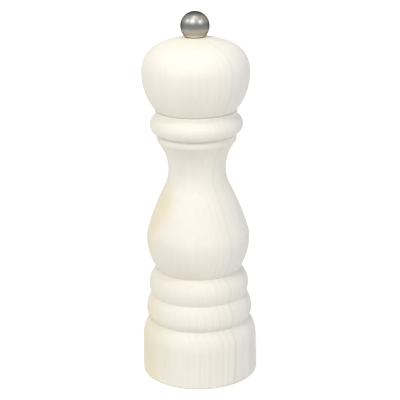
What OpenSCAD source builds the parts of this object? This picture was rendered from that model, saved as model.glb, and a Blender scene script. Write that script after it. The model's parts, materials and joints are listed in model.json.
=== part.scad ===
// Turned wooden pepper mill with a steel burr grinder and a ball adjusting knob.
// The mill stands on its foot: the origin is the centre of the foot and +Z is the turning axis.
// Every wooden outline is a lathe profile of [radius, height] points made from arcs that run on smoothly.

/* [Foot and base] */
// Diameter of the base at the foot
base_d = 67.8; // [66:0.2:70]
// How much the straight side of the base narrows towards its shoulder, on the radius
base_taper = 0.3; // [0:0.1:1]
// Height of the straight side of the base
base_side_h = 21.6; // [20:0.2:23]
// Radius of the arc that rounds the shoulder of the base
base_shoulder_r = 19.2; // [17:0.2:22]
// Height of the groove above the base
base_h = 34; // [33:0.2:36]
// Radius that eases the bottom edge of the foot
foot_edge_r = 1.4; // [0.6:0.2:3]

/* [Rings] */
// Diameter of the lower ring at its fullest
lower_ring_d = 62; // [61:0.2:64]
// Height of the lower ring from groove to groove
lower_ring_h = 15.1; // [14:0.1:16]
// Height of the lower ring's fullest point above its groove
lower_ring_mid_h = 5; // [4:0.1:6]
// Radius of the arc over the lower ring's fullest point
lower_ring_arc_r = 18; // [16:0.5:22]
// Diameter of the upper ring at its fullest
upper_ring_d = 58.4; // [57.4:0.2:60]
// Height of the upper ring from groove to groove
upper_ring_h = 15.1; // [14:0.1:15.6]
// Height of the upper ring's fullest point above its groove
upper_ring_mid_h = 5.9; // [5:0.1:6.6]
// Radius of the arc over the upper ring's fullest point
upper_ring_arc_r = 11; // [10.8:0.2:13]

/* [Bulge and waist] */
// Diameter of the bulge at its fullest
bulge_d = 60; // [58:0.2:62]
// Height of the bulge's fullest point above the groove under it
bulge_mid_h = 19.2; // [18:0.2:20.6]
// Radius of the arc over the bulge's fullest point
bulge_upper_arc_r = 18; // [15:0.2:21]
// Radius of the long arc down the flank between the bulge and the waist
flank_arc_r = 150; // [120:2:200]
// Diameter of the waist
waist_d = 33.4; // [32.6:0.2:35]
// Height of the waist above the bulge's fullest point
waist_above_bulge = 40.9; // [39:0.1:44]
// Radius of the hollow arc under the waist
waist_lower_arc_r = 22.8; // [19:0.2:25]
// Radius of the hollow arc over the waist
waist_upper_arc_r = 26.8; // [24:0.2:28]

/* [Lip, bead and collar] */
// Diameter of the lip where the waist ends under the bead
lip_d = 46; // [44.8:0.2:47]
// Height from the waist to the groove under the bead
lip_above_waist = 21.4; // [20.8:0.2:23.4]
// Height of the bead
bead_h = 10.3; // [9.6:0.1:11.4]
// Diameter of the bead
bead_d = 53.4; // [52.4:0.2:55]
// Diameter of the collar that the head stands on
collar_d = 47; // [46:0.2:48]
// Height of the collar over the bead
collar_h = 3; // [2.4:0.1:4]

/* [Head] */
// Diameter of the head at its fullest
head_d = 61.6; // [60:0.2:64]
// Height of the head's fullest point above its lower edge
head_mid_h = 20.7; // [19.4:0.1:21.8]
// Radius of the arc under the head's fullest point
head_lower_arc_r = 31.8; // [30:0.2:34]
// Height of the upright band at the head's fullest point
head_band_h = 1.9; // [1.2:0.1:3]
// Radius of the dome's shoulder
dome_shoulder_r = 15.9; // [14.4:0.1:16.8]
// Height of the dome over the lower edge of the upright band
dome_h = 20.9; // [20.2:0.1:22.4]
// Length of the tenon that hangs into the chamber
tenon_l = 14; // [12:0.5:18]
// Seam between the head and the body
seam_gap = 0.3; // [0.2:0.05:0.5]

/* [Chamber and grinder seat] */
// Diameter of the pepper chamber
chamber_d = 25; // [24:0.2:26]
// Radial play of the tenon in the chamber
tenon_play = 0.3; // [0.2:0.05:0.5]
// Diameter of the shallow recess in the foot
recess_d = 54; // [52:0.5:58]
// Depth of the recess in the foot
recess_h = 8; // [7.6:0.1:9]
// Diameter of the bore that the stator sits in
grinder_bore_d = 38; // [37:0.2:40]
// Radial clearance of the stator in its bore
seat_clearance = 0.1; // [0.05:0.05:0.2]

/* [Burrs] */
// Height of the stator
stator_h = 22; // [21:0.5:24]
// Largest diameter of the rotor, at its skirt
rotor_d = 27.2; // [26:0.2:28]
// Height of the rotor's fine teeth, from its skirt
fine_teeth_h = 6.3; // [5.5:0.1:7]
// How far the burr cone narrows for each millimetre of height, on the radius
burr_slope = 0.32; // [0.25:0.01:0.35]
// Radial gap between the burrs at the resting setting
burr_gap = 0.5; // [0.45:0.05:0.7]
// Height of the rotor
rotor_h = 10.8; // [10:0.2:11.4]
// Diameter of the rotor's flat top
rotor_top_d = 15; // [14:0.2:17]
// Depth of the cup under the rotor
rotor_cup_h = 2.3; // [2.1:0.1:2.8]
// Number of fine teeth on the rotor
rotor_fine_teeth = 28; // [20:1:32]
// Number of fine teeth in the stator
stator_fine_teeth = 32; // [24:1:36]
// Number of coarse cracking grooves on the rotor
rotor_coarse_teeth = 5; // [4:1:7]
// Number of coarse cracking grooves in the stator
stator_coarse_teeth = 8; // [6:1:10]
// Depth of a fine tooth
fine_tooth_depth = 0.7; // [0.5:0.1:0.9]

/* [Shaft and bearings] */
// Width of the square shaft across its flats
shaft_w = 5; // [4.6:0.1:5.4]
// Diameter of the round journal at the foot of the shaft
journal_d = 4; // [3.6:0.1:4.4]
// Clearance of the square shaft in each square hole, on each side
square_clearance = 0.08; // [0.05:0.01:0.15]
// Radial running clearance of a shaft in its bush
running_clearance = 0.05; // [0.03:0.01:0.08]
// Thickness of the guide bar over the stator
guide_bar_t = 1.2; // [1:0.1:1.6]
// Width of the guide bar
guide_bar_w = 8; // [6.5:0.5:9]
// Wall of the guide bush over the corners of the shaft
guide_bush_wall = 0.9; // [0.8:0.1:1.1]
// Thickness of the guide bush's flange
guide_flange_t = 1.5; // [1.2:0.1:2]
// Thickness of the spring wire
spring_wire_d = 0.9; // [0.7:0.05:1]
// Number of turns in the spring
spring_turns = 5; // [4:0.5:5.5]
// Thickness of the washer under the spring
spring_washer_t = 0.4; // [0.3:0.05:0.5]

/* [Mounting plate and fasteners] */
// Thickness of the bridge plate
plate_t = 1.5; // [1.2:0.1:1.8]
// Width of each arm of the bridge plate
plate_arm_w = 5; // [4:0.5:6]
// Shank diameter of the plate screws
plate_screw_d = 3; // [2.6:0.1:3.4]
// Length of the plate screws under the head
plate_screw_l = 11; // [9:0.5:14]
// Thickness of the drive plate under the tenon
drive_plate_t = 1.5; // [1.2:0.1:2]
// Shank diameter of the drive plate screws
drive_screw_d = 2.4; // [2:0.1:2.6]
// Length of the drive plate screws
drive_screw_l = 9; // [7:0.5:11]

/* [Knob] */
// Diameter of the ball knob
knob_d = 16.5; // [15:0.5:18.5]
// Height of ball that is cut away to make the flat foot
knob_cut_h = 1.5; // [1.2:0.1:2]
// Wall of the hollow ball
knob_wall = 1.2; // [1:0.1:1.6]
// Diameter of the screw thread on the shaft
thread_d = 5; // [4.4:0.1:5]
// Pitch of the screw thread
thread_pitch = 0.8; // [0.7:0.05:1]
// Thickness of the washer under the knob
knob_washer_t = 0.6; // [0.5:0.1:0.8]
// Depth of the knob's foot under the rim of its seat in the dome
knob_seat_h = 0.6; // [0.4:0.1:0.9]
// Gap between the ball and the rim of its seat
knob_seat_gap = 0.35; // [0.25:0.05:0.6]

/* [Hidden] */
$fn = 96;

// Length of each straight step along an arc
arc_step = 0.8;
// Overlap that makes a cutter pass clean through a face
cut = 1;
// Small easing of a sharp wooden edge
edge_r = 0.5;

// Heights of the turned features, from the foot
lower_ring_z = base_h;
upper_ring_z = lower_ring_z + lower_ring_h;
bulge_z = upper_ring_z + upper_ring_h;
bulge_mid_z = bulge_z + bulge_mid_h;
waist_z = bulge_mid_z + waist_above_bulge;
bead_z = waist_z + lip_above_waist;
collar_z = bead_z + bead_h;
body_h = collar_z + collar_h;
head_z = body_h + seam_gap;
head_mid_z = head_z + head_mid_h;
dome_top_z = head_mid_z + dome_h;
// Radius that rounds the lip, how far round it runs in degrees, and how deep the groove over it is
lip_edge_r = 3;
lip_turn = 50;
lip_groove = 1.3;
// How far the centre of the bead's arc stands inside the collar
bead_inset = 1.1;
// Where the bead's arc hands over to the cove that rises to the collar, in degrees
bead_turn = 60;

// Grinder stack, from the recess up
plate_z = recess_h - plate_t;
shoulder_z = recess_h + stator_h + guide_bar_t;
// Travel of the shaft: up by the finest setting and down by the coarsest
travel_up = 0.6;
travel_down = 1.2;
skirt_clearance = 1;
rotor_z = recess_h + travel_down + skirt_clearance;
rotor_seat_z = rotor_z + rotor_cup_h;
rotor_top_z = rotor_z + rotor_h;
washer_t = 0.8;
clip_t = 0.8;
clip_z = rotor_seat_z - washer_t - clip_t;
groove_clearance = 0.05;
journal_proud = 0.2;
journal_tip_z = plate_z - journal_proud;
fine_top_z = rotor_z + fine_teeth_h;
fine_top_r = rotor_d / 2 - burr_slope * fine_teeth_h;
stator_r = grinder_bore_d / 2 - seat_clearance;
stator_mouth_r = chamber_d / 2 + 2;
lug_w = 4;
lug_h = 6;
lug_out = 1.6;
lug_clearance = 0.15;

// Bearings
shaft_corner_r = shaft_w / sqrt(2);
square_hole_w = shaft_w + 2 * square_clearance;
guide_bush_r = square_hole_w / sqrt(2) + guide_bush_wall;
guide_hole_r = guide_bush_r + running_clearance;
guide_hub_r = guide_hole_r + 2.2;
guide_flange_r = guide_bush_r + 1.8;
guide_flange_z = shoulder_z - guide_bar_t - running_clearance - guide_flange_t;
guide_bush_top = 0.8;
spring_r = shaft_corner_r + 0.55 + spring_wire_d / 2;
journal_r = journal_d / 2;
foot_bush_bore_r = journal_r + running_clearance;
foot_bush_r = foot_bush_bore_r + 1.4;
foot_flange_r = foot_bush_r + 1.2;
foot_flange_t = 1;
hub_r = foot_bush_r + 2.6;

// Bridge plate and its screws
plate_r = recess_d / 2 - 0.8;
plate_ring_r = stator_r - 1.8;
plate_screw_circle_r = (grinder_bore_d / 2 + plate_r) / 2;
plate_screw_clearance = 0.2;
plate_screw_head_r = plate_screw_d;
plate_screw_head_h = 1.7;
pilot_clearance = 0.04;
arm_angles = [90, 210, 330];

// Head, drive plate and knob seat
tenon_r = chamber_d / 2 - tenon_play;
tenon_z = head_z - tenon_l;
drive_plate_r = tenon_r - 0.9;
drive_plate_z = tenon_z - drive_plate_t;
drive_screw_circle_r = (drive_plate_r + square_hole_w / sqrt(2)) / 2;
drive_screw_head_r = drive_screw_d * 0.95;
head_bore_r = shaft_corner_r + 0.5;
thread_r = thread_d / 2;
thread_depth = 0.61 * thread_pitch;
thread_play = 0.05;
knob_r = knob_d / 2;
knob_foot_r = sqrt(knob_r * knob_r - pow(knob_r - knob_cut_h, 2));
seat_r = sqrt(knob_r * knob_r - pow(knob_r - knob_cut_h - knob_seat_h, 2)) + knob_seat_gap;
// The crown is the wide arc that closes the dome and runs on smoothly from its shoulder
shoulder_mid_r = head_d / 2 - dome_shoulder_r;
shoulder_mid_z = head_mid_z + head_band_h;
shoulder_drop = dome_top_z - shoulder_mid_z;
crown_r = (shoulder_drop * shoulder_drop + shoulder_mid_r * shoulder_mid_r - dome_shoulder_r * dome_shoulder_r)
    / (2 * (shoulder_drop - dome_shoulder_r));
crown_mid_z = dome_top_z - crown_r;
seat_rim_z = crown_mid_z + sqrt(crown_r * crown_r - seat_r * seat_r);
knob_foot_z = seat_rim_z - knob_seat_h;
seat_floor_z = knob_foot_z - knob_washer_t;
knob_mid_z = knob_foot_z + knob_r - knob_cut_h;
// Wall of the knob's core round its thread
insert_wall = 1;
insert_r = thread_r + insert_wall;
insert_l = knob_d - knob_cut_h - knob_wall - 2.2;
thread_room = 1.4;
shaft_top_z = knob_foot_z + insert_l - thread_room - travel_up - 0.6;
square_top_z = seat_floor_z - 9;

wood = [0.95, 0.93, 0.88];
steel = [0.62, 0.62, 0.64];
brass = [0.80, 0.66, 0.36];
nylon = [0.90, 0.90, 0.86];

// Points along an elliptical arc about [cr, cz], with radii rr and rz, from angle a to angle b
function arc(cr, cz, rr, rz, a, b) =
    let (n = arc_steps(rr, rz, a, b))
    [for (i = [0:n]) arc_point(cr, cz, rr, rz, a + (b - a) * i / n)];

// The same arc without its first point, to run on from the end of another
function arc_on(cr, cz, rr, rz, a, b) =
    let (n = arc_steps(rr, rz, a, b))
    [for (i = [1:n]) arc_point(cr, cz, rr, rz, a + (b - a) * i / n)];

function arc_steps(rr, rz, a, b) = max(4, ceil(abs(b - a) / 360 * PI * (abs(rr) + abs(rz)) / arc_step));
function arc_point(cr, cz, rr, rz, t) = [cr + rr * cos(t), cz + rz * sin(t)];

// A swelling that rises from a groove at [low_r, low_z] to stand upright at [full_r, mid_z]
function swell(low_r, low_z, full_r, mid_z) =
    let (out = full_r - low_r, up = mid_z - low_z, r = (out * out + up * up) / (2 * out))
    arc_on(full_r - r, mid_z, r, r, -asin(up / r), 0);

// Radius at height z on an arc of radius r that is fullest at [full_r, mid_z]
function radius_at(full_r, mid_z, r, z) = full_r - r + sqrt(r * r - pow(z - mid_z, 2));

// The closing half of a swelling: an arc of radius r from its fullest point up to high_z
function close_arc(full_r, mid_z, r, high_z) = arc_on(full_r - r, mid_z, r, r, 0, asin((high_z - mid_z) / r));

// Centre of a circle that stands ra from point a and rb from point b, on the side of the axis
function touching_centre(a, ra, b, rb) =
    let (d = norm(b - a), u = (b - a) / d, along = (ra * ra - rb * rb + d * d) / (2 * d))
    a + along * u + sqrt(ra * ra - along * along) * [-u[1], u[0]];

// Outside of the base and the two rings, from the foot to the groove under the bulge
function base_outline() =
    let (side_r = base_d / 2 - base_taper,
         lower_mid_z = lower_ring_z + lower_ring_mid_h,
         upper_mid_z = upper_ring_z + upper_ring_mid_h,
         groove_1_r = radius_at(side_r, base_side_h, base_shoulder_r, base_h),
         groove_2_r = radius_at(lower_ring_d / 2, lower_mid_z, lower_ring_arc_r, upper_ring_z))
    concat(
        arc(base_d / 2 - foot_edge_r, foot_edge_r, foot_edge_r, foot_edge_r, -90, 0),
        [[side_r, base_side_h]],
        close_arc(side_r, base_side_h, base_shoulder_r, base_h),
        swell(groove_1_r, lower_ring_z, lower_ring_d / 2, lower_mid_z),
        close_arc(lower_ring_d / 2, lower_mid_z, lower_ring_arc_r, upper_ring_z),
        swell(groove_2_r, upper_ring_z, upper_ring_d / 2, upper_mid_z),
        close_arc(upper_ring_d / 2, upper_mid_z, upper_ring_arc_r, bulge_z));

// Outside of the bulge, the waist and the lip, from the groove under the bulge
function waist_outline() =
    let (groove_3_r = radius_at(upper_ring_d / 2, upper_ring_z + upper_ring_mid_h, upper_ring_arc_r, bulge_z),
         bulge_c = [bulge_d / 2 - bulge_upper_arc_r, bulge_mid_z],
         waist_c = [waist_d / 2 + waist_lower_arc_r, waist_z],
         flank_c = touching_centre(bulge_c, flank_arc_r - bulge_upper_arc_r,
                                   waist_c, flank_arc_r + waist_lower_arc_r),
         to_bulge = bulge_c - flank_c,
         to_waist = waist_c - flank_c,
         upper_lean = atan2(to_bulge[1], to_bulge[0]),
         lower_lean = atan2(to_waist[1], to_waist[0]),
         flare_c = waist_d / 2 + waist_upper_arc_r,
         flare = acos((flare_c - lip_d / 2 + lip_edge_r) / (waist_upper_arc_r + lip_edge_r)),
         lip_mid_z = waist_z + (waist_upper_arc_r + lip_edge_r) * sin(flare))
    concat(
        swell(groove_3_r, bulge_z, bulge_d / 2, bulge_mid_z),
        arc_on(bulge_c[0], bulge_c[1], bulge_upper_arc_r, bulge_upper_arc_r, 0, upper_lean),
        arc_on(flank_c[0], flank_c[1], flank_arc_r, flank_arc_r, upper_lean, lower_lean),
        arc_on(waist_c[0], waist_c[1], waist_lower_arc_r, waist_lower_arc_r, 180 + lower_lean, 180),
        arc_on(flare_c, waist_z, waist_upper_arc_r, waist_upper_arc_r, 180, 180 - flare),
        arc_on(lip_d / 2 - lip_edge_r, lip_mid_z, lip_edge_r, lip_edge_r, -flare, lip_turn));

// Outside of the bead and the collar, from the groove over the lip to the top of the body
function collar_outline() =
    let (collar_r = collar_d / 2,
         bead_c = collar_r - bead_inset,
         bead_out = bead_d / 2 - bead_c,
         turn = arc_point(bead_c, bead_z + bead_h / 2, bead_out, bead_h / 2, bead_turn),
         lean = atan2(sin(bead_turn) / (bead_h / 2), cos(bead_turn) / bead_out),
         cove_r = (turn[0] - collar_r) / (1 - cos(lean)))
    concat(
        [[lip_d / 2 - lip_groove, bead_z]],
        arc(bead_c, bead_z + bead_h / 2, bead_out, bead_h / 2, -80, bead_turn),
        arc_on(turn[0] + cove_r * cos(lean), turn[1] + cove_r * sin(lean), cove_r, cove_r, 180 + lean, 180),
        arc(collar_r - edge_r, body_h - edge_r, edge_r, edge_r, 0, 90));

// Outside of the head, from its lower edge to the rim of the knob seat
function head_outline() =
    let (low = asin(head_mid_h / head_lower_arc_r),
         low_r = head_d / 2 - head_lower_arc_r * (1 - cos(low)),
         crown_lean = atan2(shoulder_mid_z - crown_mid_z, shoulder_mid_r))
    concat(
        arc(low_r - edge_r, head_z + edge_r, edge_r, edge_r, -90, -40),
        arc_on(head_d / 2 - head_lower_arc_r, head_mid_z, head_lower_arc_r, head_lower_arc_r, -low, 0),
        arc(shoulder_mid_r, shoulder_mid_z, dome_shoulder_r, dome_shoulder_r, 0, crown_lean),
        arc_on(0, crown_mid_z, crown_r, crown_r, crown_lean, acos(seat_r / crown_r)));

// A cutter for one groove in a cone: a long wedge whose sharp edge is depth under the cone's face.
// One flank is steeper than the other, and side is 1 to cut in from outside and -1 to cut out from a bore
module groove_cutter(mid_r, mid_z, slope, length, depth, width, skew, side) {
    translate([mid_r, 0, mid_z])
        rotate([skew, 0, 0])
        rotate([0, -atan(slope), 0])
        linear_extrude(height = length, center = true)
        polygon([[-side * depth, 0], [side * depth, 1.5 * width], [side * depth, -0.5 * width]]);
}

// Copies its children evenly round the axis
module around(count) {
    for (i = [0:count - 1]) rotate([0, 0, i * 360 / count]) children();
}

// A square rod standing on z
module square_rod(w, z, h) {
    translate([-w / 2, -w / 2, z]) cube([w, w, h]);
}

// The turned body, with its chamber, stator bore, foot recess, lug slots and pilot holes
module wooden_body() {
    color(wood)
    difference() {
        rotate_extrude()
            polygon(concat(base_outline(), waist_outline(), collar_outline(), [[0, body_h], [0, 0]]));
        translate([0, 0, -cut]) cylinder(d = recess_d, h = recess_h + cut);
        cylinder(d = grinder_bore_d, h = shoulder_z);
        cylinder(d = chamber_d, h = body_h + cut);
        translate([0, 0, body_h - edge_r]) cylinder(d1 = chamber_d, d2 = chamber_d + 4 * edge_r, h = 2 * edge_r);
        for (side = [-1, 1])
            translate([side * grinder_bore_d / 2 - lug_out - lug_clearance, -lug_w / 2 - lug_clearance, recess_h - cut])
                cube([2 * (lug_out + lug_clearance), lug_w + 2 * lug_clearance, lug_h + lug_clearance + cut]);
        for (a = arm_angles) rotate([0, 0, a])
            translate([plate_screw_circle_r, 0, recess_h - cut])
                cylinder(r = plate_screw_d / 2 + pilot_clearance, h = plate_screw_l + cut);
    }
}

// The turned head, with its tenon, shaft bore, knob seat and pilot holes
module wooden_head() {
    color(wood)
    difference() {
        union() {
            rotate_extrude() polygon(concat(head_outline(), [[seat_r, seat_floor_z], [0, seat_floor_z], [0, head_z]]));
            translate([0, 0, tenon_z]) cylinder(r = tenon_r, h = tenon_l + cut);
        }
        translate([0, 0, tenon_z - cut]) cylinder(r = head_bore_r, h = dome_top_z);
        for (side = [-1, 1])
            translate([side * drive_screw_circle_r, 0, tenon_z - cut])
                cylinder(r = drive_screw_d / 2 + pilot_clearance, h = drive_screw_l + cut);
    }
}

// The hollow pressed ball, open at its flat foot
module knob_shell() {
    color(steel)
    difference() {
        translate([0, 0, knob_mid_z]) sphere(r = knob_r);
        intersection() {
            translate([0, 0, knob_mid_z]) sphere(r = knob_r - knob_wall);
            translate([0, 0, knob_foot_z + knob_wall]) cylinder(r = knob_r, h = 2 * knob_r);
        }
        translate([0, 0, knob_foot_z - knob_r]) cylinder(r = knob_r, h = knob_r);
        translate([0, 0, knob_foot_z - cut]) cylinder(r = insert_r, h = knob_r);
    }
}

// The threaded core pressed into the ball's foot
module knob_insert() {
    color(brass)
    translate([0, 0, knob_foot_z])
    difference() {
        cylinder(r = insert_r, h = insert_l);
        translate([0, 0, -cut]) cylinder(r = thread_r + thread_play, h = insert_l - thread_room + cut);
    }
}

// The washer that keeps the knob off the wood
module knob_washer() {
    color(steel)
    translate([0, 0, seat_floor_z])
    difference() {
        cylinder(r = knob_foot_r, h = knob_washer_t);
        translate([0, 0, -cut]) cylinder(r = thread_r + 0.2, h = knob_washer_t + 2 * cut);
    }
}

// The plate with a square hole that the head drives the shaft with
module drive_plate() {
    color(steel)
    difference() {
        translate([0, 0, drive_plate_z]) cylinder(r = drive_plate_r, h = drive_plate_t);
        square_rod(square_hole_w, drive_plate_z - cut, drive_plate_t + 2 * cut);
        for (side = [-1, 1]) translate([side * drive_screw_circle_r, 0, drive_plate_z]) {
            translate([0, 0, -cut]) cylinder(r = drive_screw_d / 2 + 0.1, h = drive_plate_t + 2 * cut);
            cylinder(r1 = drive_screw_head_r + 0.1, r2 = drive_screw_d / 2 + 0.1, h = drive_plate_t);
        }
    }
}

// Two countersunk wood screws that hold the drive plate to the tenon
module drive_plate_screws() {
    tip = 1.6;
    slot_w = 0.5;
    color(steel)
    for (side = [-1, 1]) translate([side * drive_screw_circle_r, 0, drive_plate_z])
        difference() {
            rotate_extrude() polygon([[0, 0], [drive_screw_head_r, 0], [drive_screw_d / 2, drive_plate_t],
                [drive_screw_d / 2, drive_plate_t + drive_screw_l - tip - 0.4], [0, drive_plate_t + drive_screw_l - 0.4]]);
            translate([-knob_r, -slot_w / 2, -cut]) cube([2 * knob_r, slot_w, cut + 0.5]);
        }
}

// The square shaft, with a threaded top and a grooved round journal at its foot
module drive_shaft() {
    groove_r = journal_r - 0.5;
    groove_low = clip_z - groove_clearance;
    groove_high = clip_z + clip_t + groove_clearance;
    ridges = floor((shaft_top_z - square_top_z - 2) / thread_pitch);
    thread_z = shaft_top_z - ridges * thread_pitch - 0.6;
    root_r = thread_r - thread_depth;
    color(steel) {
        intersection() {
            square_rod(shaft_w, rotor_seat_z, square_top_z - rotor_seat_z);
            rotate_extrude() polygon([[0, rotor_seat_z], [shaft_corner_r, rotor_seat_z],
                [shaft_corner_r, square_top_z - 1.2], [root_r, square_top_z], [0, square_top_z]]);
        }
        rotate_extrude() polygon(concat(
            [[0, rotor_seat_z + cut], [0, journal_tip_z], [journal_r - 0.4, journal_tip_z],
             [journal_r, journal_tip_z + 0.4], [journal_r, groove_low], [groove_r, groove_low],
             [groove_r, groove_high], [journal_r, groove_high], [journal_r, rotor_seat_z + cut]]));
        rotate_extrude() polygon(concat(
            [[0, square_top_z - cut], [root_r, square_top_z - cut], [root_r, thread_z]],
            [for (i = [0:ridges - 1], p = [[root_r, 0.1], [thread_r, 0.45], [thread_r, 0.55], [root_r, 0.9]])
                [p[0], thread_z + (i + p[1]) * thread_pitch]],
            [[root_r, shaft_top_z - 0.4], [root_r - 0.4, shaft_top_z], [0, shaft_top_z]]));
    }
}

// The flat bar over the stator that centres the shaft, seated against the shoulder of the chamber
module guide_bar() {
    reach = grinder_bore_d / 2 - seat_clearance;
    color(steel)
    translate([0, 0, shoulder_z - guide_bar_t])
    difference() {
        union() {
            cylinder(r = guide_hub_r, h = guide_bar_t);
            intersection() {
                translate([-guide_bar_w / 2, -reach, 0]) cube([guide_bar_w, 2 * reach, guide_bar_t]);
                cylinder(r = reach, h = guide_bar_t);
            }
        }
        translate([0, 0, -cut]) cylinder(r = guide_hole_r, h = guide_bar_t + 2 * cut);
    }
}

// The bush that turns with the shaft in the guide bar and takes the push of the spring
module guide_bush() {
    color(nylon)
    difference() {
        union() {
            translate([0, 0, guide_flange_z]) cylinder(r = guide_flange_r, h = guide_flange_t);
            translate([0, 0, guide_flange_z]) cylinder(r = guide_bush_r, h = shoulder_z + guide_bush_top - guide_flange_z);
        }
        square_rod(square_hole_w, guide_flange_z - cut, shoulder_z);
    }
}

// The coil spring between the guide bush and the rotor, with a closed turn at each end
module rotor_spring() {
    sides = 8;
    per_turn = 24;
    rings = spring_turns * per_turn;
    low = rotor_top_z + spring_washer_t + spring_wire_d / 2;
    rise = guide_flange_z - spring_wire_d / 2 - low;
    // Share of the rise at each share of the winding: the first and last turn lie almost closed
    function lift(s) = let (e = 1 / spring_turns, flat = (spring_wire_d + 0.05) / rise)
        s < e ? flat * s / e : s > 1 - e ? 1 - flat * (1 - s) / e : flat + (1 - 2 * flat) * (s - e) / (1 - 2 * e);
    points = [for (i = [0:rings], j = [0:sides - 1])
        let (s = i / rings, a = 360 * spring_turns * s, b = 360 * j / sides,
             r = spring_r + spring_wire_d / 2 * cos(b))
        [r * cos(a), r * sin(a), low + rise * lift(s) + spring_wire_d / 2 * sin(b)]];
    faces = concat(
        [[for (j = [0:sides - 1]) j]],
        [[for (j = [sides - 1:-1:0]) rings * sides + j]],
        [for (i = [0:rings - 1], j = [0:sides - 1])
            let (k = (j + 1) % sides) [i * sides + j, (i + 1) * sides + j, (i + 1) * sides + k, i * sides + k]]);
    color(steel) polyhedron(points = points, faces = faces, convexity = 8);
}

// The washer that keeps the spring from wearing the rotor
module spring_washer() {
    color(steel)
    translate([0, 0, rotor_top_z])
    difference() {
        cylinder(r = spring_r + spring_wire_d / 2 + 0.3, h = spring_washer_t);
        translate([0, 0, -cut]) cylinder(r = shaft_corner_r + 0.2, h = spring_washer_t + 2 * cut);
    }
}

// The turning burr: a cone with coarse cracking grooves over fine teeth, cupped underneath
module rotor_burr() {
    fine_mid_z = rotor_z + fine_teeth_h / 2;
    fine_mid_r = (rotor_d / 2 + fine_top_r) / 2;
    coarse_slope = (fine_top_r - rotor_top_d / 2) / (rotor_top_z - fine_top_z);
    cup_r = rotor_d / 2 - 4.6;
    color(steel)
    difference() {
        rotate_extrude() polygon([[0, rotor_z], [rotor_d / 2 - 0.3, rotor_z], [rotor_d / 2, rotor_z + 0.3],
            [fine_top_r, fine_top_z], [rotor_top_d / 2, rotor_top_z], [0, rotor_top_z]]);
        around(rotor_fine_teeth)
            groove_cutter(fine_mid_r, fine_mid_z, burr_slope, fine_teeth_h * 1.6, fine_tooth_depth,
                          0.7 * PI * rotor_d / rotor_fine_teeth, 22, 1);
        around(rotor_coarse_teeth)
            groove_cutter((fine_top_r + rotor_top_d / 2) / 2, (fine_top_z + rotor_top_z) / 2, coarse_slope,
                          14, 1.9, 3.2, 38, 1);
        translate([0, 0, rotor_z - cut]) cylinder(r = cup_r, h = rotor_cup_h + cut);
        square_rod(square_hole_w, rotor_z, rotor_h + cut);
    }
}

// The washer under the rotor
module rotor_washer() {
    color(steel)
    translate([0, 0, rotor_seat_z - washer_t])
    difference() {
        cylinder(r = shaft_corner_r + 2.2, h = washer_t);
        translate([0, 0, -cut]) cylinder(r = journal_r + 0.1, h = washer_t + 2 * cut);
    }
}

// The spring clip in the journal's groove that carries the washer and the rotor
module rotor_clip() {
    grip_r = journal_r - 0.45;
    color(steel)
    translate([0, 0, clip_z])
    difference() {
        cylinder(r = journal_r + 2.2, h = clip_t);
        translate([0, 0, -cut]) cylinder(r = grip_r, h = clip_t + 2 * cut);
        translate([0, -grip_r * 0.8, -cut]) cube([journal_r + 4, grip_r * 1.6, clip_t + 2 * cut]);
        for (side = [-1, 1]) rotate([0, 0, side * 115])
            translate([journal_r + 0.5, 0, -cut]) cylinder(r = 0.9, h = clip_t + 2 * cut);
    }
}

// The fixed burr: a ring with fine teeth low in its bore and coarse grooves in its funnel
module stator_burr() {
    low_r = rotor_d / 2 + burr_gap + burr_slope * (rotor_z - recess_h);
    high_r = fine_top_r + burr_gap;
    top_z = recess_h + stator_h;
    funnel_slope = (high_r - stator_mouth_r) / (top_z - fine_top_z);
    color(steel)
    difference() {
        union() {
            translate([0, 0, recess_h]) cylinder(r = stator_r, h = stator_h);
            intersection() {
                translate([-stator_r - lug_out, -lug_w / 2, recess_h]) cube([2 * (stator_r + lug_out), lug_w, lug_h]);
                translate([0, 0, recess_h]) cylinder(r = stator_r + lug_out, h = lug_h);
            }
        }
        rotate_extrude() polygon([[0, recess_h - cut], [low_r + burr_slope * cut, recess_h - cut],
            [high_r, fine_top_z], [stator_mouth_r - funnel_slope * cut, top_z + cut], [0, top_z + cut]]);
        around(stator_fine_teeth)
            groove_cutter((low_r + high_r) / 2, (recess_h + fine_top_z) / 2, burr_slope,
                          (fine_top_z - recess_h) * 1.5, fine_tooth_depth,
                          0.7 * PI * rotor_d / stator_fine_teeth, -18, -1);
        around(stator_coarse_teeth)
            groove_cutter((high_r + stator_mouth_r) / 2, (fine_top_z + top_z) / 2, funnel_slope,
                          (top_z - fine_top_z) * 0.9, 1.1, 2.4, -12, -1);
    }
}

// The three-armed plate that holds the stator up in its bore and carries the foot bush
module bridge_plate() {
    color(steel)
    translate([0, 0, plate_z])
    difference() {
        union() {
            difference() {
                cylinder(r = plate_r, h = plate_t);
                translate([0, 0, -cut]) cylinder(r = plate_ring_r, h = plate_t + 2 * cut);
            }
            cylinder(r = hub_r, h = plate_t);
            for (a = arm_angles) rotate([0, 0, a])
                translate([0, -plate_arm_w / 2, 0]) cube([plate_ring_r + 1, plate_arm_w, plate_t]);
        }
        translate([0, 0, -cut]) cylinder(r = foot_bush_r, h = plate_t + 2 * cut);
        for (a = arm_angles) rotate([0, 0, a])
            translate([plate_screw_circle_r, 0, -cut])
                cylinder(r = plate_screw_d / 2 + plate_screw_clearance, h = plate_t + 2 * cut);
    }
}

// The flanged bush that the journal runs in
module foot_bush() {
    color(brass)
    difference() {
        union() {
            translate([0, 0, plate_z]) cylinder(r = foot_bush_r, h = plate_t);
            translate([0, 0, recess_h]) cylinder(r = foot_flange_r, h = foot_flange_t);
        }
        translate([0, 0, plate_z - cut]) cylinder(r = foot_bush_bore_r, h = plate_t + foot_flange_t + 2 * cut);
    }
}

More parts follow.
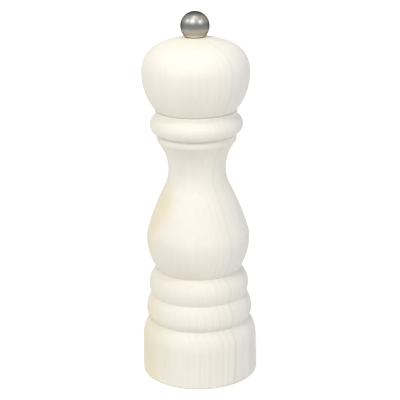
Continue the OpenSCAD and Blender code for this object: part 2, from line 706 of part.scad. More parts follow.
// Three pan-head wood screws that hold the bridge plate up into the body
module bridge_screws() {
    tip = 2;
    slot_w = 0.7;
    color(steel)
    for (a = arm_angles) rotate([0, 0, a]) translate([plate_screw_circle_r, 0, plate_z])
        difference() {
            rotate_extrude() polygon(concat(
                [[0, -plate_screw_head_h]],
                arc(plate_screw_head_r - 0.9, 0, 0.9, plate_screw_head_h, -90, 0),
                [[plate_screw_d / 2, 0], [plate_screw_d / 2, plate_screw_l - tip], [0, plate_screw_l]]));
            translate([-2 * plate_screw_d, -slot_w / 2, -plate_screw_head_h - cut])
                cube([4 * plate_screw_d, slot_w, cut + 0.8]);
        }
}

wooden_body();
wooden_head();
knob_shell();
knob_insert();
knob_washer();
drive_plate();
drive_plate_screws();
drive_shaft();
guide_bar();
guide_bush();
rotor_spring();
spring_washer();
rotor_burr();
rotor_washer();
rotor_clip();
stator_burr();
bridge_plate();
foot_bush();
bridge_screws();
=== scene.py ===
"""Looks of a turned wooden pepper mill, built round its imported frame.

Everything is in metres and in the frame's own axes: +Z is the turning axis, and the foot stands on z = 0.
Round pieces are turned by a Geometry Nodes lathe from the outline of the frame's own nodes. Sheet and
cut pieces keep the frame's faces and get eased edges. Screws, thread and spring are wound or set by
Geometry Nodes. Each sub-assembly is a class that builds its pieces and dresses them.
"""

import json
import logging
import math
from dataclasses import dataclass
from enum import Enum
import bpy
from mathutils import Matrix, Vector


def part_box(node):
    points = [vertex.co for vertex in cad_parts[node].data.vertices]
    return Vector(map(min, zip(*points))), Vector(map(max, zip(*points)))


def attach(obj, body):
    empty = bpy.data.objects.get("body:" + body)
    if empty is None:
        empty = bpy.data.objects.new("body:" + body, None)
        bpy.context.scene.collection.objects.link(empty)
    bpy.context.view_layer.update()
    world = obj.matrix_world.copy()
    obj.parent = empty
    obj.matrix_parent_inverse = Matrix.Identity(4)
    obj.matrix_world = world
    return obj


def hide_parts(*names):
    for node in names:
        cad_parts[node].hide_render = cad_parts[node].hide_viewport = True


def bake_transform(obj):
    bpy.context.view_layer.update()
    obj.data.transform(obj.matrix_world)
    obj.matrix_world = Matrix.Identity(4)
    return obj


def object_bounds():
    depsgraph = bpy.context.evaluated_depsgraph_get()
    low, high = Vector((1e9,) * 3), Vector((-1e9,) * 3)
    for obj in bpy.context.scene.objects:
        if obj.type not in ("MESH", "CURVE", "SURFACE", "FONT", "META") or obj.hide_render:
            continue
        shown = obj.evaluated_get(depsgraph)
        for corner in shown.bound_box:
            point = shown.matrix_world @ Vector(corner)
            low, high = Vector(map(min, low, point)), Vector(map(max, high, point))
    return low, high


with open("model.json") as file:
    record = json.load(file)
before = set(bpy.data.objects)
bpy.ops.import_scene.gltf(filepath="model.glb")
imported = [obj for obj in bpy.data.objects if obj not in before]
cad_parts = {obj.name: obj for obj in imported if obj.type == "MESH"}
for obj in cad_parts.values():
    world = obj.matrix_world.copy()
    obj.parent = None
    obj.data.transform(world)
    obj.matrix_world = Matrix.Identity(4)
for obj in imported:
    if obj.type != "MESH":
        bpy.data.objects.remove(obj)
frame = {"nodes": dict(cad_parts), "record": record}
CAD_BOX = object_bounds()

from types import SimpleNamespace
from typing import Any, Dict, Iterable, List, Optional, Sequence, Tuple, Union

import bmesh
import bpy
from bpy.types import Material, Mesh, Node, NodeSocket, NodeTree, Object
from mathutils import Matrix, Vector

LOG = logging.getLogger("pepper_mill")
MM = 0.001

Point = Tuple[float, float]
Place = Tuple[float, float, float]
Colour = Tuple[float, float, float]
Span = Tuple[float, float]
Term = Union["Wire", float, Tuple[float, ...]]


# ---- node trees


class Step(Enum):
    """How a value goes from one level to another."""

    SMOOTH = "SMOOTHSTEP"
    STRAIGHT = "LINEAR"


class Wire:
    """What comes out of a node. Numbers and vectors take part in sums."""

    def __init__(self, graph: "Graph", socket: NodeSocket) -> None:
        """Keeps the output and the graph that it is in."""
        self.graph, self.socket = graph, socket

    def __add__(self, other: Term) -> "Wire":
        """This and the other."""
        return self.graph.math("ADD", self, other)

    def __sub__(self, other: Term) -> "Wire":
        """This less the other."""
        return self.graph.math("SUBTRACT", self, other)

    def __rsub__(self, other: Term) -> "Wire":
        """The other less this."""
        return self.graph.math("SUBTRACT", other, self)

    def __mul__(self, other: Term) -> "Wire":
        """This times the other."""
        return self.graph.math("MULTIPLY", self, other)

    def __truediv__(self, other: Term) -> "Wire":
        """This over the other."""
        return self.graph.math("DIVIDE", self, other)

    def __rtruediv__(self, other: Term) -> "Wire":
        """The other over this."""
        return self.graph.math("DIVIDE", other, self)


class Graph:
    """A node tree that is written one node at a time."""

    def __init__(self, tree: NodeTree) -> None:
        """Keeps the tree that the nodes go into."""
        self.tree = tree

    @staticmethod
    def socket(sockets: Any, key: Any) -> NodeSocket:
        """The live socket of that name or number."""
        live = (socket for socket in sockets if socket.enabled and key in (socket.name, socket.identifier))
        return sockets[key] if isinstance(key, int) else next(live)

    def fill(self, node: Node, wires: Dict[Any, Any]) -> None:
        """Puts values and wires into a node's inputs.

        Args:
            node: the node.
            wires: what goes into each input, by the input's name or number.
        """
        for key, value in wires.items():
            socket = self.socket(node.inputs, key)
            if isinstance(value, Wire):
                self.tree.links.new(value.socket, socket)
            else:
                socket.default_value = (*value, 1.0) if socket.type == "RGBA" else value

    def add(self, kind: str, wires: Optional[Dict[Any, Any]] = None, **settings: Any) -> Node:
        """Adds one node.

        Args:
            kind: Blender's name of the node type.
            wires: what goes into each input, by name or number.
            **settings: properties of the node itself.

        Returns:
            The new node.
        """
        node = self.tree.nodes.new(kind)
        for name, value in settings.items():
            setattr(node, name, value)
        self.fill(node, wires or {})
        return node

    def make(self, kind: str, wires: Optional[Dict[Any, Any]] = None, out: Any = 0, **settings: Any) -> Wire:
        """Adds one node, as add does, and gives the output of that name or number."""
        return Wire(self, self.socket(self.add(kind, wires, **settings).outputs, out))

    def math(self, operation: str, *terms: Term, clamp: bool = False) -> Wire:
        """One arithmetic step on numbers, or on vectors where one of the terms is a vector.

        Args:
            operation: Blender's name of the operation, such as ADD.
            *terms: what it takes.
            clamp: keeps a number between 0 and 1.

        Returns:
            The result.
        """
        kinds = {term.socket.type if isinstance(term, Wire) else type(term).__name__ for term in terms}
        wires = dict(enumerate(terms))
        if kinds & {"VECTOR", "RGBA", "tuple"}:
            return self.make("ShaderNodeVectorMath", wires, operation=operation)
        return self.make("ShaderNodeMath", wires, operation=operation, use_clamp=clamp)

    def length(self, vector: Term) -> Wire:
        """How long a vector is."""
        return self.make("ShaderNodeVectorMath", {0: vector}, "Value", operation="LENGTH")

    def radius(self, x: Wire, y: Wire) -> Wire:
        """How far a place is from an axis."""
        return self.math("SQRT", x * x + y * y)

    def join(self, x: Term, y: Term, z: Term) -> Wire:
        """A vector from three numbers."""
        return self.make("ShaderNodeCombineXYZ", {0: x, 1: y, 2: z})

    def around(self, radius: Term, angle: Wire, height: Term) -> Wire:
        """The place at a radius, an angle and a height on the turning axis."""
        return self.join(self.math("COSINE", angle) * radius, self.math("SINE", angle) * radius, height)

    def split(self, vector: Term) -> List[Wire]:
        """A vector's three numbers."""
        return [Wire(self, socket) for socket in self.add("ShaderNodeSeparateXYZ", {0: vector}).outputs]

    def smooth(
        self, value: Term, low: float, high: float, to_low: float = 0.0, to_high: float = 1.0,
        how: Step = Step.SMOOTH,
    ) -> Wire:
        """A step from one level to another, while the value goes from low to high."""
        wires = {"Value": value, "From Min": low, "From Max": high, "To Min": to_low, "To Max": to_high}
        return self.make("ShaderNodeMapRange", wires, interpolation_type=how.value)

    def linear(self, value: Term, low: float, high: float, to_low: float, to_high: float) -> Wire:
        """A straight change of scale, kept inside the two results."""
        return self.smooth(value, low, high, to_low, to_high, Step.STRAIGHT)

    def noise(self, place: Term, scale: float, detail: float = 2.0, roughness: float = 0.5, out: Any = 0) -> Wire:
        """Soft noise between 0 and 1 at a place."""
        wires = {"Vector": place, "Scale": scale, "Detail": detail, "Roughness": roughness}
        return self.make("ShaderNodeTexNoise", wires, out, noise_dimensions="3D")

    def specks(self, place: Term, scale: float) -> Wire:
        """Distance to the nearest of many scattered points."""
        return self.make("ShaderNodeTexVoronoi", {"Vector": place, "Scale": scale}, "Distance", feature="F1")

    def layers(self, colour: Term, layers: Iterable[Tuple[Term, Term]]) -> Term:
        """Colours laid over each other.

        Args:
            colour: the ground.
            layers: for each layer, how much of it shows and its colour.

        Returns:
            The mixed colour.
        """
        for share, over in layers:
            wires = {"Factor_Float": share, "A_Color": colour, "B_Color": over}
            colour = self.make("ShaderNodeMix", wires, "Result_Color", data_type="RGBA", clamp_factor=True)
        return colour


def placed(name: str, data: Any) -> Object:
    """Puts a new object into the scene.

    Args:
        name: the object's name.
        data: its mesh, lamp or camera.

    Returns:
        The object, unturned at the origin.
    """
    item = bpy.data.objects.new(name, data)
    bpy.context.scene.collection.objects.link(item)
    return item


def worked(mesh: Mesh, *modifiers: Tuple[str, Dict[str, Any]]) -> Mesh:
    """A mesh with modifiers worked in.

    Args:
        mesh: the mesh.
        *modifiers: for each modifier its kind, and its settings by property or by input identifier.

    Returns:
        A new mesh that no modifier changes any more.
    """
    holder = placed("holder", mesh)
    for kind, settings in modifiers:
        modifier = holder.modifiers.new(kind, kind)
        for key, value in settings.items():
            if hasattr(modifier, key):
                setattr(modifier, key, value)
            else:
                modifier[key] = value
    bpy.context.view_layer.update()
    graph = bpy.context.evaluated_depsgraph_get()
    result = bpy.data.meshes.new_from_object(
        holder.evaluated_get(graph), preserve_all_data_layers=True, depsgraph=graph
    )
    bpy.data.objects.remove(holder)
    return result


class Shaper(Graph):
    """A tool: a Geometry Nodes tree that makes one mesh or works on it."""

    NAME = "shaper"
    FLOATS: Tuple[str, ...] = ()
    WHOLES: Tuple[str, ...] = ()

    def __init__(self) -> None:
        """Writes the tree once, with an input for each named size and one for the finish."""
        super().__init__(bpy.data.node_groups.new(self.NAME, "GeometryNodeTree"))
        self.tree.interface.new_socket("Geometry", in_out="OUTPUT", socket_type="NodeSocketGeometry")
        kinds = {"Geometry": "Geometry", **dict.fromkeys(self.FLOATS, "Float"), **dict.fromkeys(self.WHOLES, "Int")}
        for name, kind in {**kinds, "Material": "Material"}.items():
            self.tree.interface.new_socket(name, in_out="INPUT", socket_type="NodeSocket" + kind)
        given = self.add("NodeGroupInput").outputs
        self.size = SimpleNamespace(**{self._plain(item.name): Wire(self, item) for item in given if item.name})
        real = self.make("GeometryNodeRealizeInstances", {"Geometry": self.nodes()})
        dressed = self.make("GeometryNodeSetMaterial", {"Geometry": real, "Material": self.size.material})
        self.add("NodeGroupOutput", {"Geometry": dressed})

    @staticmethod
    def _plain(name: str) -> str:
        """An input's name in small letters with underscores."""
        return name.lower().replace(" ", "_")

    def nodes(self) -> Wire:
        """Writes the nodes that give the shape; each tool has its own."""
        raise NotImplementedError

    def run(self, base: Mesh, material: Material, **sizes: float) -> Mesh:
        """Runs the tree on a mesh.

        Args:
            base: the mesh that goes in.
            material: the finish of the result.
            **sizes: every size of the tree, in small letters with underscores.

        Returns:
            A plain mesh.
        """
        given = {"material": material, **sizes}
        inputs = {
            item.identifier: given.pop(self._plain(item.name)) for item in self.tree.interface.items_tree
            if item.in_out == "INPUT" and item.name != "Geometry"
        }
        if given:
            raise KeyError(f"{self.NAME} has no input {sorted(given)}")
        return worked(base, ("NODES", {"node_group": self.tree, **inputs}))


# ---- the frame's nodes


@dataclass(frozen=True)
class FramePart:
    """What the frame says about one node."""

    name: str

    WELD = 2e-6

    @property
    def node(self) -> Object:
        """The node's own object."""
        return frame["nodes"][self.name]

    @property
    def body(self) -> str:
        """The body that the node belongs to."""
        bodies = frame["record"]["behaviour"]["bodies"]
        return next(body for body, members in bodies.items() if self.name in members)

    @property
    def slot(self) -> str:
        """The record's material slot of the node."""
        return next(row["material_slot"] for row in frame["record"]["subparts"] if row["node"] == self.name)

    @property
    def low(self) -> Vector:
        """The lowest corner at rest."""
        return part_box(self.name)[0]

    @property
    def high(self) -> Vector:
        """The highest corner at rest."""
        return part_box(self.name)[1]

    def top_beyond(self, radius: float) -> float:
        """The highest height at which the node reaches past a radius."""
        return max(v.co.z for v in self.node.data.vertices if math.hypot(v.co.x, v.co.y) > radius)

    def merged(self) -> bmesh.types.BMesh:
        """Copies the node's mesh and joins its loose triangles.

        Returns:
            The copy.
        """
        copy = bmesh.new()
        copy.from_mesh(self.node.data)
        bmesh.ops.remove_doubles(copy, verts=copy.verts, dist=self.WELD)
        return copy

    def hand_over(self, name: str, mesh: Mesh, rides: bool = True) -> Object:
        """Puts a finished piece in the node's place.

        Args:
            name: the new piece's name.
            mesh: its mesh, in the frame's axes.
            rides: whether the piece rides on the node's body; the spring doesn't.

        Returns:
            The new object.
        """
        piece = placed(name, mesh)
        mesh.name = name
        if rides:
            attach(piece, self.body)
        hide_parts(self.name)
        self.slot
        triangles = sum(len(face.vertices) - 2 for face in mesh.polygons)
        if not triangles:
            raise ValueError(f"{name} has no faces")
        LOG.info("%s stands for %s on %s: %d triangles", name, self.name, self.body, triangles)
        return piece


# ---- outlines for the lathe


@dataclass(frozen=True)
class Outline:
    """A lathe outline: points of radius and height, in order."""

    points: Tuple[Point, ...]
    closed: bool

    # how near each other two points are taken as one, and how level and how round a ring has to be
    SAME = 8e-6
    LEVEL = 4e-6
    CLOSE = 6e-6
    SQUARE_ON = 0.96
    UPRIGHT = 1e-4
    # a corner, its rounding as shares of the way, and the points that hold the sides on to it
    SHARP = math.radians(31)
    ROOM = 0.3
    ROUNDING = (0.0, 0.28, 0.5, 0.72, 1.0)
    HOLD = 2.2
    KEEP_OFF = 2.4
    LONG = 6
    # a step between points: nearly straight, or next to one of a very different length
    STRAIGHT = math.radians(0.6)
    UNEVEN = 3

    @classmethod
    def of(cls, part: FramePart, azimuth: float = math.radians(45.37)) -> "Outline":
        """Reads the outline of a turned node on one half-plane through the axis.

        Args:
            part: the node.
            azimuth: the half-plane's direction, which misses every pocket, lug and screw hole.

        Returns:
            The outline through the node's own rings of points.
        """
        copy = part.merged()
        along = Vector((math.cos(azimuth), math.sin(azimuth), 0))
        across = Vector((-math.sin(azimuth), math.cos(azimuth), 0))
        cuts: Dict[Any, float] = {}
        for edge in copy.edges:
            a, b = edge.verts[0].co, edge.verts[1].co
            before, behind = a.dot(across), b.dot(across)
            if (before < 0) != (behind < 0):
                out = a.lerp(b, before / (before - behind)).dot(along)
                if out > 0:
                    cuts[edge] = out
        links: Dict[Any, List[Any]] = {edge: [] for edge in cuts}
        loose: Dict[Any, bmesh.types.BMFace] = {}
        for face in copy.faces:
            met = [edge for edge in face.edges if edge in cuts]
            if len(met) == 2:
                links[met[0]].append(met[1])
                links[met[1]].append(met[0])
            elif len(met) == 1:
                loose[met[0]] = face
        chain = [next(iter(loose or cuts))]
        while (step := next((edge for edge in links[chain[-1]] if edge not in chain), None)) is not None:
            chain.append(step)

        def on_axis(edge: bmesh.types.BMEdge) -> Point:
            """Where the last face of an open outline meets the axis."""
            normal, corner = loose[edge].normal, loose[edge].verts[0].co
            return 0.0, corner.z + (normal.xy.dot(corner.xy) / normal.z if abs(normal.z) >= cls.UPRIGHT else 0.0)

        rings: List[Point] = []
        for edge in chain:
            a, b = edge.verts[0].co, edge.verts[1].co
            here = (math.hypot(a.x, a.y), a.z)
            ring = abs(a.z - b.z) < cls.LEVEL and abs(here[0] - math.hypot(b.x, b.y)) < cls.CLOSE
            apart = not rings or math.dist(here, rings[-1]) > cls.SAME
            if ring and apart and cuts[edge] >= cls.SQUARE_ON * here[0]:
                rings.append(here)
        if loose:
            rings = [on_axis(chain[0]), *rings, on_axis(chain[-1])]
        elif math.dist(rings[0], rings[-1]) < cls.SAME:
            rings.pop()
        copy.free()
        return cls(tuple(rings), not loose)

    def eased(self, ease: float, spacing: float = 1.1 * MM, turn: float = math.radians(6)) -> "Outline":
        """Runs smooth curves through the outline's points and rounds its corners a little.

        Args:
            ease: how far from a corner its rounding starts.
            spacing: the longest step on a curve.
            turn: the largest change of direction in one step.

        Returns:
            The finished outline.
        """
        places = [Vector(p) for p in self.points]
        count = len(places)
        last = count if self.closed else count - 1
        chords = [places[(i + 1) % count] - places[i] for i in range(last)]
        units = [chord.normalized() for chord in chords]
        inner = [self.closed or 0 < i < count - 1 for i in range(count)]
        corner = [inner[i] and units[i - 1].angle(units[i]) > self.SHARP for i in range(count)]

        def heading(i: int) -> Optional[Vector]:
            """The direction through a point of a curve.

            Args:
                i: the point's number.

            Returns:
                The direction, or None at a corner or an end.
            """
            if corner[i] or not inner[i]:
                return None
            before, after = chords[i - 1], chords[i]
            ratio = after.length / before.length
            if ratio > self.UNEVEN or ratio < 1 / self.UNEVEN:
                return (after if ratio > self.UNEVEN else before).normalized()
            return (before * ratio + after / ratio).normalized()

        def reach(i: int) -> float:
            """How far the rounding of corner i goes along each side."""
            return min(ease, self.ROOM * chords[i - 1].length, self.ROOM * chords[i].length) if corner[i] else 0.0

        def end(own: Optional[Vector], other: Optional[Vector], unit: Vector) -> Vector:
            """The direction at one end of a step; at a corner it is that of an even arc."""
            return own or ((2 * unit.dot(other) * unit - other).normalized() if other else unit)

        headings = [heading(i) for i in range(count)]
        pairs = [(headings[i], headings[(i + 1) % count], units[i]) for i in range(last)]
        leaving = [end(here, there, unit) for here, there, unit in pairs]
        arriving = [end(there, here, unit) for here, there, unit in pairs]
        made: List[Point] = []

        def keep(place: Vector) -> None:
            """Adds a point unless it lies on the last one.

            Args:
                place: the point.
            """
            here = (max(0.0, place.x), place.y)
            if not made or math.dist(made[-1], here) > self.CLOSE:
                made.append(here)

        for i in range(last):
            here, there, length = places[i], places[(i + 1) % count], chords[i].length
            away, back = leaving[i], arriving[i]
            from_here, from_there = reach(i), reach((i + 1) % count)
            if corner[i]:
                first, final = here - arriving[i - 1] * from_here, here + away * from_here
                for share in self.ROUNDING:
                    keep(first.lerp(here, share).lerp(here.lerp(final, share), share))
            else:
                keep(here)
            bend = away.angle(units[i]) + back.angle(units[i])
            steps = 1 if bend < self.STRAIGHT else max(math.ceil(length / spacing), math.ceil(bend / turn))
            if from_here and length > self.LONG * from_here:
                keep(here + away * self.HOLD * from_here)
            for t in (k / steps for k in range(1, steps)):
                if length * t <= self.KEEP_OFF * from_here or length * (1 - t) <= self.KEEP_OFF * from_there:
                    continue
                square, cube = t * t, t * t * t
                keep(
                    here * (2 * cube - 3 * square + 1) + away * length * (cube - 2 * square + t)
                    + there * (3 * square - 2 * cube) + back * length * (cube - square)
                )
            if from_there and length > self.LONG * from_there:
                keep(there - back * self.HOLD * from_there)
        if not self.closed:
            keep(places[-1])
        elif math.dist(made[0], made[-1]) < self.CLOSE:
            made.pop()
        return Outline(tuple(made), self.closed)

    def mesh(self) -> Mesh:
        """Draws the outline in the XZ plane.

        Returns:
            A mesh of edges.
        """
        count = len(self.points)
        edges = [(i, i + 1) for i in range(count - 1)] + ([(count - 1, 0)] if self.closed else [])
        mesh = bpy.data.meshes.new("outline")
        mesh.from_pydata([(radius, 0.0, height) for radius, height in self.points], edges, [])
        return mesh


# ---- tools that shape


def finished(mesh: Mesh, outwards: bool = True, sharp: float = math.radians(40), tiny: float = 1e-7) -> Mesh:
    """Smooths a mesh's shading and turns its faces outwards.

    Args:
        mesh: the mesh.
        outwards: whether to work the directions out afresh.
        sharp: edges that turn by more than this stay crisp.
        tiny: edges shorter than this are closed up.

    Returns:
        The same mesh.
    """
    work = bmesh.new()
    work.from_mesh(mesh)
    bmesh.ops.dissolve_degenerate(work, dist=tiny, edges=work.edges)
    if outwards:
        bmesh.ops.recalc_face_normals(work, faces=work.faces)
    for face in work.faces:
        face.smooth = True
    work.to_mesh(mesh)
    work.free()
    mesh.set_sharp_from_angle(angle=sharp)
    return mesh


def closed_off(work: bmesh.types.BMesh, name: str, material: Optional[Material] = None) -> Mesh:
    """Turns a mesh in the making into a mesh.

    Args:
        work: the mesh in the making, which is freed.
        name: the mesh's name.
        material: its finish, if it gets one.

    Returns:
        The mesh.
    """
    mesh = bpy.data.meshes.new(name)
    work.to_mesh(mesh)
    work.free()
    if material:
        mesh.materials.append(material)
    return mesh


def joined(meshes: Sequence[Mesh]) -> Mesh:
    """Puts several meshes together.

    Args:
        meshes: the meshes, which share a finish.

    Returns:
        One mesh.
    """
    work = bmesh.new()
    for mesh in meshes:
        work.from_mesh(mesh)
    return closed_off(work, "joined", meshes[0].materials[0])


class Lathe(Shaper):
    """Turns an outline round the axis."""

    NAME = "lathe"
    FLOATS = ("Sweep Radius", "Weld")
    WHOLES = ("Segments",)
    SWEEP_RADIUS = 10 * MM
    WELD = 1e-6

    def nodes(self) -> Wire:
        """Sweeps the outline along a circle and welds its poles.

        Returns:
            The turned mesh.
        """
        size = self.size
        wires = {
            "Geometry": self.make("GeometryNodeMeshToCurve", {"Mesh": size.geometry}),
            "Translation": self.join(size.sweep_radius * -1.0, 0.0, 0.0), "Rotation": (math.pi / 2, 0.0, 0.0),
        }
        profile = self.make("GeometryNodeTransform", wires)
        wires = {"Resolution": size.segments, "Radius": size.sweep_radius}
        circle = self.make("GeometryNodeCurvePrimitiveCircle", wires, mode="RADIUS")
        swept = self.make("GeometryNodeCurveToMesh", {"Curve": circle, "Profile Curve": profile})
        return self.make("GeometryNodeMergeByDistance", {"Geometry": swept, "Distance": size.weld})

    def turn(self, outline: Outline, material: Material, segments: int = 128) -> Mesh:
        """Turns an outline in steps round the axis into a closed mesh whose faces point outwards."""
        sizes = {"sweep_radius": self.SWEEP_RADIUS, "weld": self.WELD}
        return finished(self.run(outline.mesh(), material, segments=segments, **sizes))


class EdgeFile:
    """Eases the hard edges of a cut or stamped piece, as a file or a tumbler does."""

    WORN = "worn"
    FLAT = math.radians(0.5)
    SHARP = math.radians(28)

    def __init__(self, width: float, rows: int = 2) -> None:
        """Sets the tool: how far from an edge its rounding starts, and how many faces it has."""
        self.width, self.rows = width, rows

    def ease(self, part: FramePart, material: Material) -> Mesh:
        """Copies a node's mesh and eases it.

        Args:
            part: the node.
            material: the finish.

        Returns:
            A closed mesh whose rounded faces carry the number 1 in the attribute WORN.
        """
        work = part.merged()
        worn = work.faces.layers.float.new(self.WORN)
        bmesh.ops.dissolve_limit(work, angle_limit=self.FLAT, verts=work.verts, edges=work.edges)
        hard = [e for e in work.edges if len(e.link_faces) == 2 and e.calc_face_angle(0.0) > self.SHARP]
        made = bmesh.ops.bevel(
            work, geom=hard, offset=self.width, offset_type="OFFSET", segments=self.rows, profile=0.5,
            affect="EDGES", clamp_overlap=True, loop_slide=True,
        )
        for face in made["faces"]:
            face[worn] = 1.0
        for face in work.faces:
            face.smooth = True
        mesh = closed_off(work, part.name, material)
        return worked(mesh, ("WEIGHTED_NORMAL", {"weight": 80, "keep_sharp": True}))


class ThreadCutter(Shaper):
    """Cuts a pointed helical thread on a round rod."""

    NAME = "thread"
    FLOATS = ("Root Radius", "Crest Radius", "Pitch", "Low", "High", "Chamfer")
    WHOLES = ("Rows", "Columns")
    FLANK = (0.08, 0.92)
    END_ROWS = 3

    def nodes(self) -> Wire:
        """Rolls a grid into a rod whose radius follows the thread.

        Returns:
            The threaded rod.
        """
        size = self.size
        wires = {"Size X": 1.0, "Size Y": 1.0, "Vertices X": size.columns, "Vertices Y": size.rows}
        grid = self.make("GeometryNodeMeshGrid", wires)
        x, y, _ = self.split(self.make("GeometryNodeInputPosition"))
        rows = size.rows - 1.0
        row = (y + 0.5) * rows
        angle = (x + 0.5) * math.tau
        share = self.math("DIVIDE", row - 1.0, rows - 2.0, clamp=True)
        height = size.low + share * (size.high - size.low)
        tip = size.high - height
        wave = self.math("PINGPONG", height / size.pitch - angle / math.tau, 0.5) * 2.0
        above = self.math("DIVIDE", height - size.low, size.pitch, clamp=True)
        below = self.math("DIVIDE", tip, size.pitch, clamp=True)
        cut = above * below * (self.smooth(wave, *self.FLANK) * (size.crest_radius - size.root_radius))
        inside = self.math("GREATER_THAN", row, 0.5) * self.math("LESS_THAN", row, rows - 0.5)
        radius = (size.root_radius + cut - self.math("MAXIMUM", size.chamfer - tip, 0.0)) * inside
        wires = {"Geometry": grid, "Position": self.around(radius, angle, height)}
        rolled = self.make("GeometryNodeSetPosition", wires)
        return self.make("GeometryNodeMergeByDistance", {"Geometry": rolled, "Distance": Lathe.WELD})

    def cut(self, material: Material, rows_per_turn: int, columns: int, **sizes: float) -> Mesh:
        """Cuts one threaded rod on the axis.

        Args:
            material: its finish.
            rows_per_turn: how many steps go up one turn.
            columns: how many steps go round.
            **sizes: the heights low and high, the radii root_radius between the threads and crest_radius
                over them, the pitch of one turn, and the chamfer by which the far end narrows.

        Returns:
            A closed mesh.
        """
        rows = int((sizes["high"] - sizes["low"]) / sizes["pitch"] * rows_per_turn) + self.END_ROWS
        mesh = self.run(bpy.data.meshes.new("nothing"), material, rows=rows, columns=columns + 1, **sizes)
        return finished(mesh, sharp=math.radians(60))


class ScrewSetter(Shaper):
    """Sets one screw several times round a circle."""

    NAME = "screws on a circle"
    FLOATS = ("Circle Radius", "Height", "First Angle")
    WHOLES = ("Count", "Slot Seed")

    def nodes(self) -> Wire:
        """Stands a turned copy of the screw on each point of a circle.

        Returns:
            The screws.
        """
        size = self.size
        step = math.tau / size.count
        angle = self.math("MULTIPLY_ADD", self.make("GeometryNodeInputIndex"), step, size.first_angle)
        wires = {"Count": size.count, "Position": self.around(size.circle_radius, angle, size.height)}
        placed = self.make("GeometryNodePoints", wires)
        wires = {"Min": 0.0, "Max": math.pi, "Seed": size.slot_seed}
        turned = self.join(0.0, 0.0, self.make("FunctionNodeRandomValue", wires, "Value"))
        wires = {"Points": placed, "Instance": size.geometry, "Rotation": turned}
        return self.make("GeometryNodeInstanceOnPoints", wires)


class SpringWinder(Shaper):
    """Winds a compression spring with closed end turns."""

    NAME = "spring"
    FLOATS = ("Turns", "Mean Radius", "Wire Radius", "Low", "Rise", "Closed Rise")
    WHOLES = ("Steps", "Sides")
    SOFTNESS = 0.02

    def nodes(self) -> Wire:
        """Lays a line round the axis and gives it the wire's thickness.

        Returns:
            The spring.
        """
        size = self.size
        line = self.make("GeometryNodeCurvePrimitiveLine", {"Start": (0.0, 0.0, 0.0), "End": (0.0, 0.0, 1.0)})
        steps = self.make("GeometryNodeResampleCurve", {"Curve": line, "Count": size.steps})
        share = self.make("GeometryNodeSplineParameter", out="Factor")
        one = 1.0 / size.turns
        flat = size.closed_rise / size.rise
        slope = flat / one
        top = 1.0 - (1.0 - share) * slope
        middle = flat + (share - one) * ((1.0 - flat * 2.0) / (1.0 - one * 2.0))
        above_bottom = self.math("SMOOTH_MAX", share * slope, middle, self.SOFTNESS)
        height = size.low + self.math("SMOOTH_MIN", top, above_bottom, self.SOFTNESS) * size.rise
        angle = share * (size.turns * math.tau)
        wires = {"Geometry": steps, "Position": self.around(size.mean_radius, angle, height)}
        path = self.make("GeometryNodeSetPosition", wires)
        wires = {"Resolution": size.sides, "Radius": size.wire_radius}
        wire = self.make("GeometryNodeCurvePrimitiveCircle", wires, mode="RADIUS")
        return self.make("GeometryNodeCurveToMesh", {"Curve": path, "Profile Curve": wire, "Fill Caps": True})


# ---- finishes


MIDDLE: Span = (0.3, 0.7)  # most of what noise gives lies between these


class Lay(Enum):
    """How the tool marks of a metal surface run."""

    TURNED = "rings round the axis"
    DRAWN = "lines along the axis"
    ROLLED = "lines across a sheet"
    CAST = "no direction"


class Coat(Graph):
    """The graph of one material."""

    def __init__(self, name: str) -> None:
        """Starts the material and finds the place on the object, in metres.

        Args:
            name: the material's name.
        """
        self.material = bpy.data.materials.new(name)
        self.material.use_nodes = True
        super().__init__(self.material.node_tree)
        self.place = self.make("ShaderNodeTexCoord", out="Object")

    def relief(self, *layers: Tuple[Term, float, float]) -> Wire:
        """Reliefs that lie on each other.

        Args:
            *layers: for each, its height between 0 and 1, its depth in metres, and how much of it shows.

        Returns:
            The bent direction of the surface.
        """
        bent: Dict[str, Wire] = {}
        for height, depth, strength in layers:
            wires = {"Height": height, "Distance": depth, "Strength": strength, **bent}
            bent["Normal"] = self.make("ShaderNodeBump", wires)
        return bent["Normal"]

    def finish(self, looks: Dict[str, Any]) -> Material:
        """Puts the looks into the shader's own inputs and gives the material."""
        self.fill(self.tree.nodes["Principled BSDF"], looks)
        return self.material


@dataclass(frozen=True)
class Stain:
    """A soft patch of another tone in the timber."""

    centre: Place
    reach: float
    colour: Colour
    share: float
    height: float = 2.0

    FADE = (0.25, 1.0)
    PATCHY = (0.3, 0.65, 1.0, 0.5)

    def at(self, coat: Coat, patch: Wire) -> Wire:
        """How much of the stain shows at each place; the noise in patch makes it uneven."""
        away = coat.length((coat.place - self.centre) / (self.reach, self.reach, self.reach * self.height))
        return coat.smooth(away, *self.FADE, 1.0, 0.0) * coat.smooth(patch, *self.PATCHY) * self.share


@dataclass(frozen=True)
class Grain:
    """Soft noise in a material, drawn out along the axis where `along` is below 1."""

    scale: float
    detail: float = 2.0
    roughness: float = 0.5
    along: float = 1.0
    shift: Place = (0.0, 0.0, 0.0)

    def at(self, graph: Graph, place: Wire, out: Any = 0) -> Wire:
        """The noise at a place, between 0 and 1.

        Args:
            graph: the material's graph.
            place: where.
            out: which of the noise's outputs is wanted.

        Returns:
            The noise.
        """
        if any(self.shift):
            place = place + self.shift
        if self.along != 1.0:
            place = place * (1.0, 1.0, self.along)
        return graph.noise(place, self.scale, self.detail, self.roughness, out)


